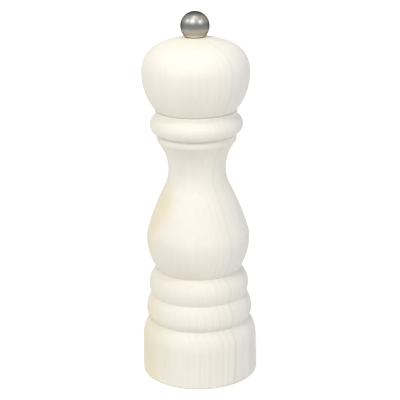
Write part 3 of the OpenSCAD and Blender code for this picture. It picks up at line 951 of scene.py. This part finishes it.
@dataclass(frozen=True)
class BleachedWood:
    """Pale close-grained timber, bleached and lacquered to a satin."""

    name: str
    stains: Tuple[Stain, ...]
    shift: Place = (0.0, 0.0, 0.0)
    early: Colour = (0.84, 0.797, 0.70)
    late: Colour = (0.66, 0.63, 0.56)
    warm: Colour = (0.81, 0.75, 0.60)
    blush: Colour = (0.83, 0.76, 0.69)
    # painted shade: a greyer, darker tone for the +x side of the wood
    cool: Colour = (0.775, 0.765, 0.755)
    pore: Colour = (0.55, 0.47, 0.36)
    faint: float = 0.06
    clear: float = 0.60
    clearer_from: float = 0.42
    cooler_from: float = 0.55
    bolder: Span = (2.0, 0.85)
    bolder_at: Span = (15 * MM, 70 * MM)
    ring_width: float = 2.4 * MM
    ring_drift: float = 2.4
    drift_scale: float = 0.37
    growth: Span = (0.30, 0.78)
    pause: Span = (0.80, 1.0)
    weakest: float = 0.35
    pith: Span = (79 * MM, 55 * MM)
    tilt: Span = (0.012, -0.016)
    wander: float = 11 * MM
    half_width: float = 34 * MM
    winding: Grain = Grain(17.0, 3.0, along=0.45)
    fibre: Grain = Grain(2600.0, 3.0, 0.62, 0.028)
    streak: Grain = Grain(420.0, along=0.05)
    drift: Grain = Grain(21.0, along=0.55)
    patch: Grain = Grain(34.0, shift=(0.11, 0.07, 0.19))
    flecked: Grain = Grain(260.0, 1.0, shift=(0.3, 0.1, 0.2))
    fleck_scale: float = 1500.0
    fleck_along: float = 0.16
    tool_marks: Grain = Grain(1900.0, 2.0, 0.6)
    pores_at: Span = (0.05, 0.17)
    flecks_at: Span = (0.5, 0.62)
    drift_at: Span = (0.48, 0.8)
    patch_at: Span = (0.50, 0.72)
    fibre_gloss: Span = (0.50, 0.44)
    ring_gloss: float = 0.05
    warmth: float = 0.30
    blushing: float = 0.35
    coolness: float = 0.50
    fibre_tone: float = 0.05
    streak_tone: float = 0.13
    pore_tone: float = 0.12
    fibre_depth: float = 0.02 * MM
    pore_depth: float = 0.015 * MM

    def material(self) -> Material:
        """Writes the timber.

        Returns:
            A material whose rings, fibre, flecks and pores run through the solid wood.
        """
        coat = Coat(self.name)
        smooth, linear = coat.smooth, coat.linear
        across, _, height = coat.split(coat.place)
        wires = {"Vector": coat.place, "Location": self.shift, "Rotation": (*self.tilt, 0.0)}
        moved = coat.make("ShaderNodeMapping", wires, vector_type="POINT")
        bend = self.winding.at(coat, moved, "Color") - (0.5, 0.5, 0.5)
        x, y, _ = coat.split(moved + bend * (self.wander, self.wander, 0.0) - (*self.pith, 0.0))
        count = coat.radius(x, y) / self.ring_width
        wires = {"W": count, "Scale": self.drift_scale, "Detail": 1.0}
        years = count + coat.make("ShaderNodeTexNoise", wires, noise_dimensions="1D") * self.ring_drift
        age = coat.math("FRACT", years)
        wires = {"W": coat.math("FLOOR", years)}
        strength = coat.make("ShaderNodeTexWhiteNoise", wires, "Value", noise_dimensions="1D")
        ring = smooth(age, *self.growth) * smooth(age, *self.pause, 1.0, 0.0)
        ring = ring * linear(strength, 0.0, 1.0, self.weakest, 1.0)
        fibre, streak, drift, patch, flecked = (
            grain.at(coat, moved) for grain in (self.fibre, self.streak, self.drift, self.patch, self.flecked)
        )
        speck = coat.specks(moved * (1.0, 1.0, self.fleck_along), self.fleck_scale)
        fleck = smooth(speck, *self.pores_at, 1.0, 0.0) * smooth(flecked, *self.flecks_at)
        side = linear(across, -self.half_width, self.half_width, 0.0, 1.0)
        boldness = smooth(side, self.clearer_from, 1.0, self.faint, self.clear)
        turned = self.tool_marks.at(coat, coat.join(0.0, 0.0, height))
        return coat.finish({
            "Base Color": coat.layers(self.early, (
                (ring * boldness * smooth(height, *self.bolder_at, *self.bolder), self.late),
                (smooth(drift, *self.drift_at) * self.warmth, self.warm),
                (smooth(patch, *self.patch_at) * self.blushing, self.blush),
                *((stain.at(coat, patch), stain.colour) for stain in self.stains),
                # painted shade: the +x side of the wood greyer and darker
                (smooth(side, self.cooler_from, 1.0) * self.coolness, self.cool),
                (linear(fibre, 0.35, 0.65, self.fibre_tone, 0.0), self.late),
                (linear(streak, *MIDDLE, self.streak_tone, 0.0), self.late),
                (fleck * self.pore_tone, self.pore),
            )),
            "Roughness": linear(fibre, *MIDDLE, *self.fibre_gloss) + ring * self.ring_gloss,
            "Normal": coat.relief(
                (turned, self.fibre_depth, 0.25), (fibre, self.fibre_depth, 0.35),
                (1.0 - fleck, self.pore_depth, 0.3),
            ),
            "Specular IOR Level": 0.05,
        })


@dataclass(frozen=True)
class Metal:
    """A metal with its tool marks, its own unevenness, paler or darker worn edges, and bands of painted reflection by
    height where given.
    """

    name: str
    colour: Colour
    shade: Colour
    roughness: float
    lay: Lay
    marks: float
    mark_size: float
    mottle: float
    edge: Colour = (0.8, 0.8, 0.8)
    rim: Colour = (1.0, 1.0, 1.0)
    grain: float = 0.0
    # painted reflection: below each band's heights the base colour turns to the band's colour, for a painted highlight
    # band, painted reflection of the wood below and a pale foot painted over the shade under the ball
    tones_below: Tuple[Tuple[float, float, Colour], ...] = ()

    DRAWN_OUT = 0.015
    ROUND = 0.15 * MM
    CLOUD = Grain(260.0, 3.0, 0.55)
    RUBBING = Grain(900.0)
    SKIN = Grain(5200.0, 2.0, 0.6)
    CRYSTALS = 6500.0
    LINE_DEPTH = 0.012 * MM
    CRYSTAL_DEPTH = 0.03 * MM
    SKIN_DEPTH = 0.003 * MM
    LINE_TONE = 0.22
    RUBBED_TONE = 0.7
    RUBBED_GLOSS = 0.08
    LINE_GLOSS = (-0.05, 0.06)
    CLOUD_GLOSS = (-0.03, 0.04)

    def material(self) -> Material:
        """Writes the metal.

        Returns:
            A material whose marks follow the way in which the piece was made.
        """
        coat = Coat(self.name)
        smooth, linear = coat.smooth, coat.linear
        x, y, z = coat.split(coat.place)
        along = {
            Lay.TURNED: lambda: coat.join(coat.radius(x, y), coat.math("ARCTAN2", y, x) * self.ROUND, z),
            Lay.DRAWN: lambda: coat.join(x, y, z * self.DRAWN_OUT),
            Lay.ROLLED: lambda: coat.join(x, y * self.DRAWN_OUT, z),
            Lay.CAST: lambda: coat.place,
        }[self.lay]()
        lines = coat.noise(along, 1.0 / self.mark_size, 3.0, 0.6)
        cloud = self.CLOUD.at(coat, coat.place)
        worn = coat.make("ShaderNodeAttribute", out="Fac", attribute_name=EdgeFile.WORN)
        rubbed = worn * smooth(self.RUBBING.at(coat, coat.place), 0.35, 0.6)
        layers = [
            (smooth(cloud, 0.4, 0.75) * self.mottle, self.shade),
            (linear(lines, 0.35, 0.7, 0.0, self.LINE_TONE * self.marks), self.shade),
        ]
        reliefs = [(lines, self.LINE_DEPTH, self.marks)]
        if self.grain:
            crystal = coat.specks(coat.place, self.CRYSTALS)
            layers.append((smooth(crystal, 0.2, 0.7) * self.grain, self.shade))
            reliefs.append((crystal, self.CRYSTAL_DEPTH, self.grain))
        layers.append((rubbed * self.RUBBED_TONE, self.edge))
        # painted reflection and highlight: base colour changes by height, band by band
        layers += [(smooth(z, low, high, 1.0, 0.0), tone) for low, high, tone in self.tones_below]
        reliefs.append((self.SKIN.at(coat, coat.place), self.SKIN_DEPTH, 0.3))
        gloss = linear(lines, *MIDDLE, *(self.roughness + change for change in self.LINE_GLOSS))
        gloss = gloss + linear(cloud, *MIDDLE, *self.CLOUD_GLOSS)
        return coat.finish({
            "Base Color": coat.layers(self.colour, layers), "Metallic": 1.0, "Specular Tint": self.rim,
            "Roughness": coat.math("SUBTRACT", gloss, rubbed * self.RUBBED_GLOSS, clamp=True),
            "Normal": coat.relief(*reliefs),
        })


@dataclass(frozen=True)
class Nylon:
    """Natural moulded nylon, slightly milky."""

    name: str = "natural_nylon"
    colour: Colour = (0.80, 0.79, 0.72)
    shade: Colour = (0.70, 0.68, 0.58)
    milk: Grain = Grain(330.0, 3.0)
    skin: Grain = Grain(4200.0, 2.0, 0.6)
    skin_depth: float = 0.008 * MM

    def material(self) -> Material:
        """Writes the nylon.

        Returns:
            A material with the cloudiness and the fine skin of a moulding.
        """
        coat = Coat(self.name)
        cloud = coat.smooth(self.milk.at(coat, coat.place), 0.35, 0.75)
        skin = self.skin.at(coat, coat.place)
        return coat.finish({
            "Base Color": coat.layers(self.colour, [(cloud * 0.5, self.shade)]),
            "Roughness": coat.linear(skin, *MIDDLE, 0.38, 0.5), "Specular IOR Level": 0.45,
            "Normal": coat.relief((skin, self.skin_depth, 0.4)),
        })


class Workshop:
    """Every tool and every finish of the mill, made once."""

    YELLOW: Colour = (0.79, 0.705, 0.44)
    PINK: Colour = (0.80, 0.725, 0.64)
    ZINC_EDGE: Colour = (0.62, 0.62, 0.63)

    def __init__(self) -> None:
        """Writes the materials and the tools' trees."""
        self.body_wood = BleachedWood("bleached_wood_body", (
            Stain((-26 * MM, -10 * MM, 109 * MM), 19 * MM, self.YELLOW, 0.90, 1.2),
            Stain((-30 * MM, -6 * MM, 90 * MM), 17 * MM, self.YELLOW, 0.80, 1.2),
            Stain((-13 * MM, -22 * MM, 74 * MM), 22 * MM, self.PINK, 0.55, 1.4),
            Stain((-5 * MM, -18 * MM, 132 * MM), 15 * MM, self.PINK, 0.55, 1.0),
            Stain((-29 * MM, -13 * MM, 26 * MM), 23 * MM, self.YELLOW, 0.60),
        )).material()
        self.head_wood = BleachedWood("bleached_wood_head", (
            Stain((-1 * MM, -30 * MM, 177 * MM), 15 * MM, self.PINK, 0.60, 0.8),
            Stain((-4 * MM, -10 * MM, 200 * MM), 16 * MM, self.YELLOW, 0.18, 0.8),
        ), shift=(4 * MM, -3 * MM, 12 * MM)).material()
        # the ball's bands, top down: a paler painted highlight band, the dark middle, painted reflection of the pale
        # wood below, and a near-white foot painted over the shade between ball and head
        self.ball = Metal(
            "satin_turned_steel", (0.16, 0.16, 0.15), (0.125, 0.125, 0.118), 0.385, Lay.TURNED,
            marks=0.35, mark_size=0.07 * MM, mottle=0.2, rim=(0.05, 0.05, 0.055), tones_below=(
                (212.3 * MM, 214.1 * MM, (0.30, 0.295, 0.27)), (207.8 * MM, 210.6 * MM, (0.16, 0.16, 0.15)),
                (203.9 * MM, 206.5 * MM, (0.44, 0.40, 0.34)), (200.9 * MM, 202.8 * MM, (0.92, 0.88, 0.74)),
            ),
        ).material()
        self.plate = Metal(
            "zinc_plated_steel", (0.47, 0.47, 0.485), (0.37, 0.37, 0.39), 0.33, Lay.ROLLED,
            marks=0.6, mark_size=0.12 * MM, mottle=0.5, edge=self.ZINC_EDGE,
        ).material()
        self.screw = Metal(
            "zinc_plated_screw", (0.44, 0.44, 0.455), (0.33, 0.33, 0.35), 0.28, Lay.CAST,
            marks=0.4, mark_size=0.3 * MM, mottle=0.5, edge=self.ZINC_EDGE,
        ).material()
        self.bar = Metal(
            "drawn_steel", (0.39, 0.39, 0.40), (0.28, 0.275, 0.275), 0.34, Lay.DRAWN,
            marks=0.8, mark_size=0.10 * MM, mottle=0.5, edge=(0.55, 0.55, 0.56),
        ).material()
        self.burr = Metal(
            "phosphated_steel", (0.135, 0.135, 0.14), (0.085, 0.085, 0.09), 0.5, Lay.CAST,
            marks=0.4, mark_size=0.3 * MM, mottle=0.45, edge=(0.34, 0.34, 0.35), grain=0.35,
        ).material()
        self.wire = Metal(
            "spring_wire", (0.36, 0.36, 0.37), (0.25, 0.25, 0.26), 0.26, Lay.CAST,
            marks=0.3, mark_size=0.4 * MM, mottle=0.5, edge=(0.6, 0.6, 0.6),
        ).material()
        self.brass = Metal(
            "machined_brass", (0.66, 0.47, 0.20), (0.50, 0.33, 0.13), 0.27, Lay.TURNED,
            marks=0.5, mark_size=0.11 * MM, mottle=0.45, edge=(0.88, 0.72, 0.42),
        ).material()
        self.nylon = Nylon().material()
        self.lathe, self.threads = Lathe(), ThreadCutter()
        self.screws, self.springs = ScrewSetter(), SpringWinder()
        LOG.info("tools and %d finishes written", len(bpy.data.materials))


# ---- sub-assemblies


@dataclass
class Assembly:
    """A group of the mill's pieces, with the workshop that makes them."""

    shop: Workshop

    def turned(self, node: str, name: str, finish: Material, *eased: float, segments: int = 72) -> None:
        """Turns and dresses the round piece that stands for a node, its outline eased as given."""
        part = FramePart(node)
        part.hand_over(name, self.shop.lathe.turn(Outline.of(part).eased(*eased), finish, segments))


@dataclass
class WoodenShell(Assembly):
    """One of the mill's two turned wooden pieces."""

    part: FramePart
    name: str
    wood: Material
    ease: float = 0.2 * MM
    segments: int = 192
    step: float = 1.0 * MM
    rim_radius: float = 20 * MM
    drop: float = 0.0
    drop_above: float = 2.0 * MM
    drop_fade: float = 1.3 * MM
    fill: float = 0.0
    fill_depth: float = 0.55 * MM
    fill_below: float = 13.3 * MM
    fill_height: float = 2.2 * MM
    fill_slope: float = 0.3
    closest: float = 0.05 * MM

    def _shallower(self, outline: Outline) -> Outline:
        """Fills the foot of the groove over the lip, so that it reads as a fine line.

        Args:
            outline: the piece's outline through the frame's points.

        Returns:
            The outline, no narrower than the fill within the groove's height.
        """
        top = self.part.high.z - self.fill_below
        kept: List[Point] = []
        for radius, height in outline.points:
            inside = self.rim_radius < radius < self.fill and top - self.fill_height < height < top
            if inside:
                filled = self.fill - self.fill_depth + self.fill_slope * (top - height)
                radius = max(radius, min(self.fill, filled))
            if not (inside and kept and math.dist(kept[-1], (radius, height)) < self.closest):
                kept.append((radius, height))
        return Outline(tuple(kept), outline.closed)

    def _closed_down(self, outline: Outline) -> Outline:
        """Draws the rim a hair closer to the piece below, so that the joint reads as a fine line.

        Args:
            outline: the piece's outline.

        Returns:
            The outline, lower where it is wider than the joint's inner radius and close over the joint.
        """
        top = FramePart("wooden_body").high.z + self.drop_above
        lowered = tuple(
            (radius, height - self.drop * min(1.0, max(0.0, (top - height) / self.drop_fade)))
            if radius > self.rim_radius else (radius, height)
            for radius, height in outline.points
        )
        return Outline(lowered, outline.closed)

    def build(self) -> None:
        """Turns and dresses the wood."""
        outline = self._closed_down(self._shallower(Outline.of(self.part)).eased(self.ease, self.step))
        self.part.hand_over(self.name, self.shop.lathe.turn(outline, self.wood, self.segments))


@dataclass
class BallKnob(Assembly):
    """The adjusting knob: a steel ball on a brass insert, over a washer in the head's seat."""

    ease: float = 0.18 * MM
    step: float = 0.5 * MM
    finest_turn: float = math.radians(3)
    segments: int = 160
    small_ease: float = 0.08 * MM
    small_step: float = 0.4 * MM

    def build(self) -> None:
        """Turns and dresses the knob's pieces."""
        shop, small = self.shop, (self.small_ease, self.small_step)
        self.turned("knob_shell", "ball", shop.ball, self.ease, self.step, self.finest_turn, segments=self.segments)
        self.turned("knob_insert", "ball_insert", shop.brass, *small)
        self.turned("knob_washer", "ball_washer", shop.plate, *small)


@dataclass
class DriveShaft(Assembly):
    """The square bar that carries the rotor, with a turned foot and a threaded top."""

    corner: float = 0.35 * MM
    corner_steps: int = 5
    side_marks: Tuple[float, ...] = (0.04, 0.5, 0.96)
    bar_chamfer: float = 0.15 * MM
    bar_foot: Tuple[float, float, float] = (0.06 * MM, 0.24 * MM, 1 * MM)
    bar_marks: Tuple[float, ...] = (0.25, 0.5, 0.75)
    bar_play: float = 0.2 * MM
    shoulder: float = 1.2 * MM
    shoulder_above: float = 0.9
    shoulder_marks: Tuple[float, ...] = (0.0, 0.03, 0.2, 0.4, 0.6, 0.8, 0.97, 1.0)
    thread_pitch: float = 0.8 * MM
    thread_radius: float = 2.5 * MM
    thread_depth: float = 0.488 * MM
    thread_overlap: float = 0.5 * MM
    thread_rows: int = 9
    thread_columns: int = 40
    journal_radius: float = 2.0 * MM
    journal_chamfer: float = 0.4 * MM
    journal_ease: float = 0.06 * MM
    journal_step: float = 0.4 * MM
    journal_overlap: float = 0.3 * MM
    journal_segments: int = 64
    clip_groove_depth: float = 0.5 * MM
    clip_groove_play: float = 0.05 * MM
    end_chamfer: float = 0.4 * MM

    def _section(self, half: float) -> List[Vector]:
        """Draws the bar's rounded square.

        Args:
            half: half of the width across flats.

        Returns:
            Points round the axis.
        """
        middle = Vector((half - self.corner, half - self.corner))
        angles = [k / self.corner_steps * math.pi / 2 for k in range(self.corner_steps + 1)]
        arc = [middle + self.corner * Vector((math.cos(angle), math.sin(angle))) for angle in angles]
        arcs = [[Matrix.Rotation(quarter * math.pi / 2, 2) @ point for point in arc] for quarter in range(4)]
        points: List[Vector] = []
        for own, following in zip(arcs, arcs[1:] + arcs[:1]):
            points += own + [own[-1].lerp(following[0], share) for share in self.side_marks]
        return points

    def _bar(self, low: float, high: float, half: float, neck: float) -> Mesh:
        """The square length of the shaft.

        Args:
            low: where the square starts.
            high: where it ends.
            half: half of the width across flats.
            neck: the radius that its top narrows to.

        Returns:
            A closed mesh.
        """
        section, across = self._section(half), half * math.sqrt(2)
        rows = [
            (low, half - self.bar_chamfer), *zip((low + rise for rise in self.bar_foot), (half, across, across)),
            *((low + share * (high - low), across) for share in self.bar_marks),
            *((high - self.shoulder * (1 - share), across + (neck - across) * share) for share in self.shoulder_marks),
        ]
        work = bmesh.new()
        rings = []
        for height, limit in rows:
            held = [point * min(1.0, limit / point.length) for point in section]
            rings.append([work.verts.new((point.x, point.y, height)) for point in held])
        for lower, upper in zip(rings, rings[1:]):
            for k in range(len(lower)):
                n = (k + 1) % len(lower)
                work.faces.new((lower[k], lower[n], upper[n], upper[k]))
        work.faces.new(rings[0][::-1])
        work.faces.new(rings[-1])
        return finished(closed_off(work, "square_bar", self.shop.bar), sharp=math.radians(35))

    def build(self) -> None:
        """Makes and dresses the shaft."""
        part, clip, seat = FramePart("drive_shaft"), FramePart("rotor_clip"), FramePart("rotor_washer").high.z
        half, low, steel = part.high.x, part.low.z, self.shop.bar
        square_top = part.top_beyond(half + self.bar_play) + self.shoulder * self.shoulder_above
        neck = self.thread_radius - self.thread_depth
        journal, groove = self.journal_radius, self.journal_radius - self.clip_groove_depth
        groove_low, groove_high = clip.low.z - self.clip_groove_play, clip.high.z + self.clip_groove_play
        foot = Outline(
            (
                (0.0, low), (journal - self.journal_chamfer, low), (journal, low + self.journal_chamfer),
                (journal, groove_low), (groove, groove_low), (groove, groove_high), (journal, groove_high),
                (journal, seat + self.journal_overlap), (0.0, seat + self.journal_overlap),
            ),
            False,
        )
        thread = self.shop.threads.cut(
            steel, self.thread_rows, self.thread_columns, low=square_top - self.thread_overlap, high=part.high.z,
            root_radius=neck, crest_radius=self.thread_radius, pitch=self.thread_pitch, chamfer=self.end_chamfer,
        )
        outline = foot.eased(self.journal_ease, self.journal_step)
        turned = self.shop.lathe.turn(outline, steel, self.journal_segments)
        part.hand_over("shaft", joined([turned, self._bar(seat, square_top, half, neck), thread]))


@dataclass
class ScrewShape:
    """A slotted screw that points up, with its seat at z = 0."""

    head_radius: float
    head_height: float
    shank_radius: float
    length: float
    tip: float
    slot_width: float
    slot_depth: float
    countersunk: bool
    pitch: float
    dome_radius: float = 0.9 * MM
    dome_steps: int = 8
    rim: Point = (0.05 * MM, 0.06 * MM)
    ease: float = 0.07 * MM
    step: float = 0.3 * MM
    slot_ease: float = 0.05 * MM
    segments: int = 56
    root_share: float = 0.74
    rod_in_cone: float = 0.9
    rod_in_head: float = 0.1 * MM
    point: float = 0.5
    thread_rows: int = 8
    thread_columns: int = 24

    def _head(self, shop: Workshop) -> Mesh:
        """Turns the head and cuts its slot.

        Args:
            shop: the workshop.

        Returns:
            The slotted head as a closed mesh.
        """
        r, h, s, bend = self.head_radius, self.head_height, self.shank_radius, self.dome_radius
        if self.countersunk:
            points = ((0.0, 0.0), (r - self.rim[0], 0.0), (r, self.rim[1]), (s, h), (0.0, h))
        else:
            angles = [k / self.dome_steps * math.pi / 2 for k in range(self.dome_steps + 1)]
            arc = [(r - bend + bend * math.sin(angle), -h * math.cos(angle)) for angle in angles]
            points = ((0.0, -h), *arc, (s, 0.0), (0.0, 0.0))
        outline = Outline(points, False).eased(self.ease, self.step)
        work = bmesh.new()
        size = Matrix.Diagonal((3 * r, self.slot_width, 2 * self.slot_depth, 1.0))
        face = Matrix.Translation((0, 0, 0.0 if self.countersunk else -h))
        bmesh.ops.create_cube(work, size=1.0, matrix=face @ size)
        blade = placed("slot", closed_off(work, "slot"))
        slot = {"operation": "DIFFERENCE", "object": blade, "solver": "EXACT"}
        soften = {"width": self.slot_ease, "segments": 2, "limit_method": "ANGLE", "angle_limit": math.radians(55)}
        head = shop.lathe.turn(outline, shop.screw, self.segments)
        mesh = worked(head, ("BOOLEAN", slot), ("BEVEL", soften))
        bpy.data.objects.remove(blade)
        return finished(mesh, outwards=False, sharp=math.radians(30))

    def build(self, shop: Workshop) -> Mesh:
        """Makes one screw.

        Args:
            shop: the workshop.

        Returns:
            The screw as one mesh.
        """
        rod = shop.threads.cut(
            shop.screw, self.thread_rows, self.thread_columns, high=self.length, pitch=self.pitch,
            low=self.head_height * self.rod_in_cone if self.countersunk else -self.rod_in_head,
            crest_radius=self.shank_radius, root_radius=self.shank_radius * self.root_share,
            chamfer=self.tip * self.point,
        )
        return joined([self._head(shop), rod])


@dataclass
class ScrewRing(Assembly):
    """Equal screws round a circle."""

    part: FramePart
    name: str
    shape: ScrewShape
    count: int
    circle: float
    seat: float
    first_angle: float
    seed: int

    @classmethod
    def under_the_bridge(cls, shop: Workshop) -> "ScrewRing":
        """The three screws that hold the bridge plate.

        Args:
            shop: the workshop.

        Returns:
            The screws, sized from the frame.
        """
        part, plate, radius = FramePart("bridge_screws"), FramePart("bridge_plate").low.z, 3.0 * MM
        shape = ScrewShape(
            head_radius=radius, head_height=plate - part.low.z, shank_radius=1.5 * MM, length=part.high.z - plate,
            tip=2 * MM, slot_width=0.7 * MM, slot_depth=0.8 * MM, countersunk=False, pitch=1.1 * MM,
        )
        circle = part.high.y - radius
        return cls(shop, part, "foot_screws", shape, 3, circle, plate, first_angle=math.pi / 2, seed=4)

    @classmethod
    def in_the_tenon(cls, shop: Workshop) -> "ScrewRing":
        """The two countersunk screws that hold the drive plate.

        Args:
            shop: the workshop.

        Returns:
            The screws, sized from the frame.
        """
        part, plate, radius = FramePart("drive_plate_screws"), FramePart("drive_plate"), 2.28 * MM
        shape = ScrewShape(
            head_radius=radius, head_height=plate.high.z - plate.low.z, shank_radius=1.2 * MM,
            length=part.high.z - part.low.z, tip=1.6 * MM, slot_width=0.5 * MM, slot_depth=0.5 * MM,
            countersunk=True, pitch=0.9 * MM,
        )
        circle = part.high.x - radius
        return cls(shop, part, "tenon_screws", shape, 2, circle, part.low.z, first_angle=0.0, seed=2)

    def build(self) -> None:
        """Makes one screw and sets it round the circle."""
        mesh = self.shop.screws.run(
            self.shape.build(self.shop), self.shop.screw, count=self.count, circle_radius=self.circle,
            height=self.seat, first_angle=self.first_angle, slot_seed=self.seed,
        )
        self.part.hand_over(self.name, mesh)


@dataclass
class Spring(Assembly):
    """The spring that pushes the rotor down from the guide bush."""

    wire: float = 0.9 * MM
    turns: float = 5.0
    closed_gap: float = 0.05 * MM
    steps_per_turn: int = 48
    sides: int = 14

    def build(self) -> None:
        """Winds the spring, which rides on neither of its two bodies."""
        part, shop = FramePart("rotor_spring"), self.shop
        low, high = part.low.z, part.high.z
        mesh = shop.springs.run(
            bpy.data.meshes.new("nothing"), shop.wire, turns=self.turns, mean_radius=part.high.x - self.wire / 2,
            wire_radius=self.wire / 2, low=low + self.wire / 2, rise=high - low - self.wire,
            closed_rise=self.wire + self.closed_gap, steps=int(self.turns * self.steps_per_turn), sides=self.sides,
        )
        piece = part.hand_over("spring", finished(mesh, sharp=math.radians(60)), rides=False)
        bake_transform(piece)


@dataclass
class Grinder(Assembly):
    """The steel grinder in the foot and the drive plate, with bushes, washers and clip."""

    tooth_ease: float = 0.07 * MM
    clip_ease: float = 0.08 * MM
    hole_ease: float = 0.12 * MM
    plate_ease: float = 0.16 * MM
    plate_rows: int = 3
    washer_ease: float = 0.1 * MM
    washer_step: float = 0.4 * MM

    def build(self) -> None:
        """Makes and dresses the grinder's pieces."""
        shop = self.shop
        teeth, hole = EdgeFile(self.tooth_ease), EdgeFile(self.hole_ease)
        sheet, small = EdgeFile(self.plate_ease, self.plate_rows), EdgeFile(self.clip_ease)
        for node, name, tool, finish in (
            ("stator_burr", "stator", teeth, shop.burr), ("rotor_burr", "rotor", teeth, shop.burr),
            ("bridge_plate", "bridge", sheet, shop.plate), ("guide_bar", "guide", sheet, shop.plate),
            ("drive_plate", "driver", hole, shop.plate), ("rotor_clip", "clip", small, shop.wire),
            ("guide_bush", "bush", hole, shop.nylon),
        ):
            part = FramePart(node)
            part.hand_over(name, tool.ease(part, finish))
        for node, name, finish in (
            ("foot_bush", "foot_bearing", shop.brass), ("rotor_washer", "thrust_washer", shop.plate),
            ("spring_washer", "spring_seat", shop.plate),
        ):
            self.turned(node, name, finish, self.washer_ease, self.washer_step)


# ---- studio


@dataclass(frozen=True)
class SoftBox:
    """A square lamp that faces the mill."""

    name: str
    azimuth: float
    elevation: float
    size: float
    power: float
    colour: Colour
    distance: float = 1.1

    def build(self, aim: Vector) -> None:
        """Hangs the lamp.

        Args:
            aim: the point that it faces.
        """
        turn, rise = math.radians(self.azimuth), math.radians(self.elevation)
        away = Vector((math.sin(turn) * math.cos(rise), -math.cos(turn) * math.cos(rise), math.sin(rise)))
        lamp = bpy.data.lights.new(self.name, "AREA")
        lamp.shape, lamp.size, lamp.energy, lamp.color = "SQUARE", self.size, self.power, self.colour
        holder = placed(self.name, lamp)
        holder.location = aim + self.distance * away
        holder.rotation_euler = (aim - holder.location).to_track_quat("-Z", "Y").to_euler()


@dataclass
class Studio:
    """The plain white room: floor, air, lamps and camera."""

    floor_half: float = 9.0
    floor_colour: Colour = (0.89, 0.89, 0.89)
    floor_white: float = 0.42
    floor_near: Span = (0.15, 0.9)
    white: Colour = (1.0, 1.0, 1.0)
    air: float = 0.43
    aim_above_middle: float = 50 * MM
    camera_distance: float = 0.71490
    camera_height: float = 0.33282
    camera_pitch: float = 0.30863
    camera_roll: float = math.radians(0.84)
    camera_side: float = 1.4 * MM
    lens: float = 116.39
    sensor: float = 36.0
    clip: Span = (0.01, 60.0)
    lamps: Tuple[SoftBox, ...] = (
        SoftBox("left_lamp", -75, 35, 0.12, 1.8, (0.95, 0.98, 1.08)),
        SoftBox("front_lamp", -25, 44, 0.34, 4.7, (0.985, 0.99, 0.97)),
        SoftBox("right_lamp", 51, 35, 0.19, 3.1, (0.955, 1.0, 1.10)),
        SoftBox("top_lamp", -10, 78, 0.50, 2.5, (0.98, 0.98, 0.95)),
    )

    @staticmethod
    def _seen(graph: Graph) -> Wire:
        """A switch for the rays that see the room.

        Args:
            graph: the graph that it goes into.

        Returns:
            1 for rays from the camera, off metal or through glass, and 0 for the others.
        """
        path = graph.add("ShaderNodeLightPath").outputs
        rays = [Wire(graph, path[kind]) for kind in ("Is Camera Ray", "Is Glossy Ray", "Is Transmission Ray")]
        return graph.math("ADD", rays[0], rays[1] + rays[2], clamp=True)

    def _floor(self) -> None:
        """Lays a pale floor that keeps the mill's shadow."""
        half = self.floor_half
        mesh = bpy.data.meshes.new("floor")
        mesh.from_pydata([(-half, -half, 0), (half, -half, 0), (half, half, 0), (-half, half, 0)], [], [(0, 1, 2, 3)])
        floor = placed("floor", mesh)
        coat = Coat("pale_floor")
        coat.tree.nodes.remove(coat.tree.nodes["Principled BSDF"])
        white = coat.smooth(coat.length(coat.place), *self.floor_near, self.floor_white, 1.0)
        plain = coat.make("ShaderNodeBsdfDiffuse", {"Color": self.floor_colour})
        glow = coat.make("ShaderNodeEmission", {"Color": self.white, "Strength": self._seen(coat) * white})
        both = coat.make("ShaderNodeAddShader", {0: plain, 1: glow})
        coat.fill(coat.tree.nodes["Material Output"], {"Surface": both})
        mesh.materials.append(coat.material)

    def _air(self) -> None:
        """Fills the room with even light, white wherever it is seen."""
        world = bpy.data.worlds.new("air")
        world.use_nodes = True
        bpy.context.scene.world = world
        graph = Graph(world.node_tree)
        level = graph.linear(self._seen(graph), 0.0, 1.0, self.air, 1.0)
        graph.fill(graph.tree.nodes["Background"], {"Color": self.white, "Strength": level})

    def _camera(self) -> None:
        """Sets the camera on its stand."""
        lens = bpy.data.cameras.new("camera")
        lens.lens, lens.sensor_width, lens.sensor_fit = self.lens, self.sensor, "HORIZONTAL"
        lens.clip_start, lens.clip_end = self.clip
        camera = placed("camera", lens)
        place = Matrix.Translation((self.camera_side, -self.camera_distance, self.camera_height))
        level = Matrix.Rotation(math.pi / 2 - self.camera_pitch, 4, "X")
        camera.matrix_world = place @ level @ Matrix.Rotation(-self.camera_roll, 4, "Z")
        bpy.context.scene.camera = camera

    def build(self) -> None:
        """Sets up the whole room."""
        bpy.context.scene.view_settings.view_transform = "Standard"
        self._floor()
        self._air()
        middle = (CAD_BOX[0] + CAD_BOX[1]) / 2
        for lamp in self.lamps:
            lamp.build(Vector((0.0, 0.0, middle.z + self.aim_above_middle)))
        self._camera()
        LOG.info("studio set")


def main() -> None:
    """Builds the mill piece by piece, then the room round it."""
    logging.basicConfig(level=logging.INFO, format="%(name)s: %(message)s")
    shop = Workshop()
    WoodenShell(shop, FramePart("wooden_body"), "turned_body", shop.body_wood, fill=23 * MM).build()
    WoodenShell(shop, FramePart("wooden_head"), "turned_head", shop.head_wood, drop=0.25 * MM).build()
    for assembly in (BallKnob, DriveShaft, Grinder, Spring, ScrewRing.under_the_bridge, ScrewRing.in_the_tenon):
        assembly(shop).build()
    Studio().build()


if __name__ == "__main__":
    main()
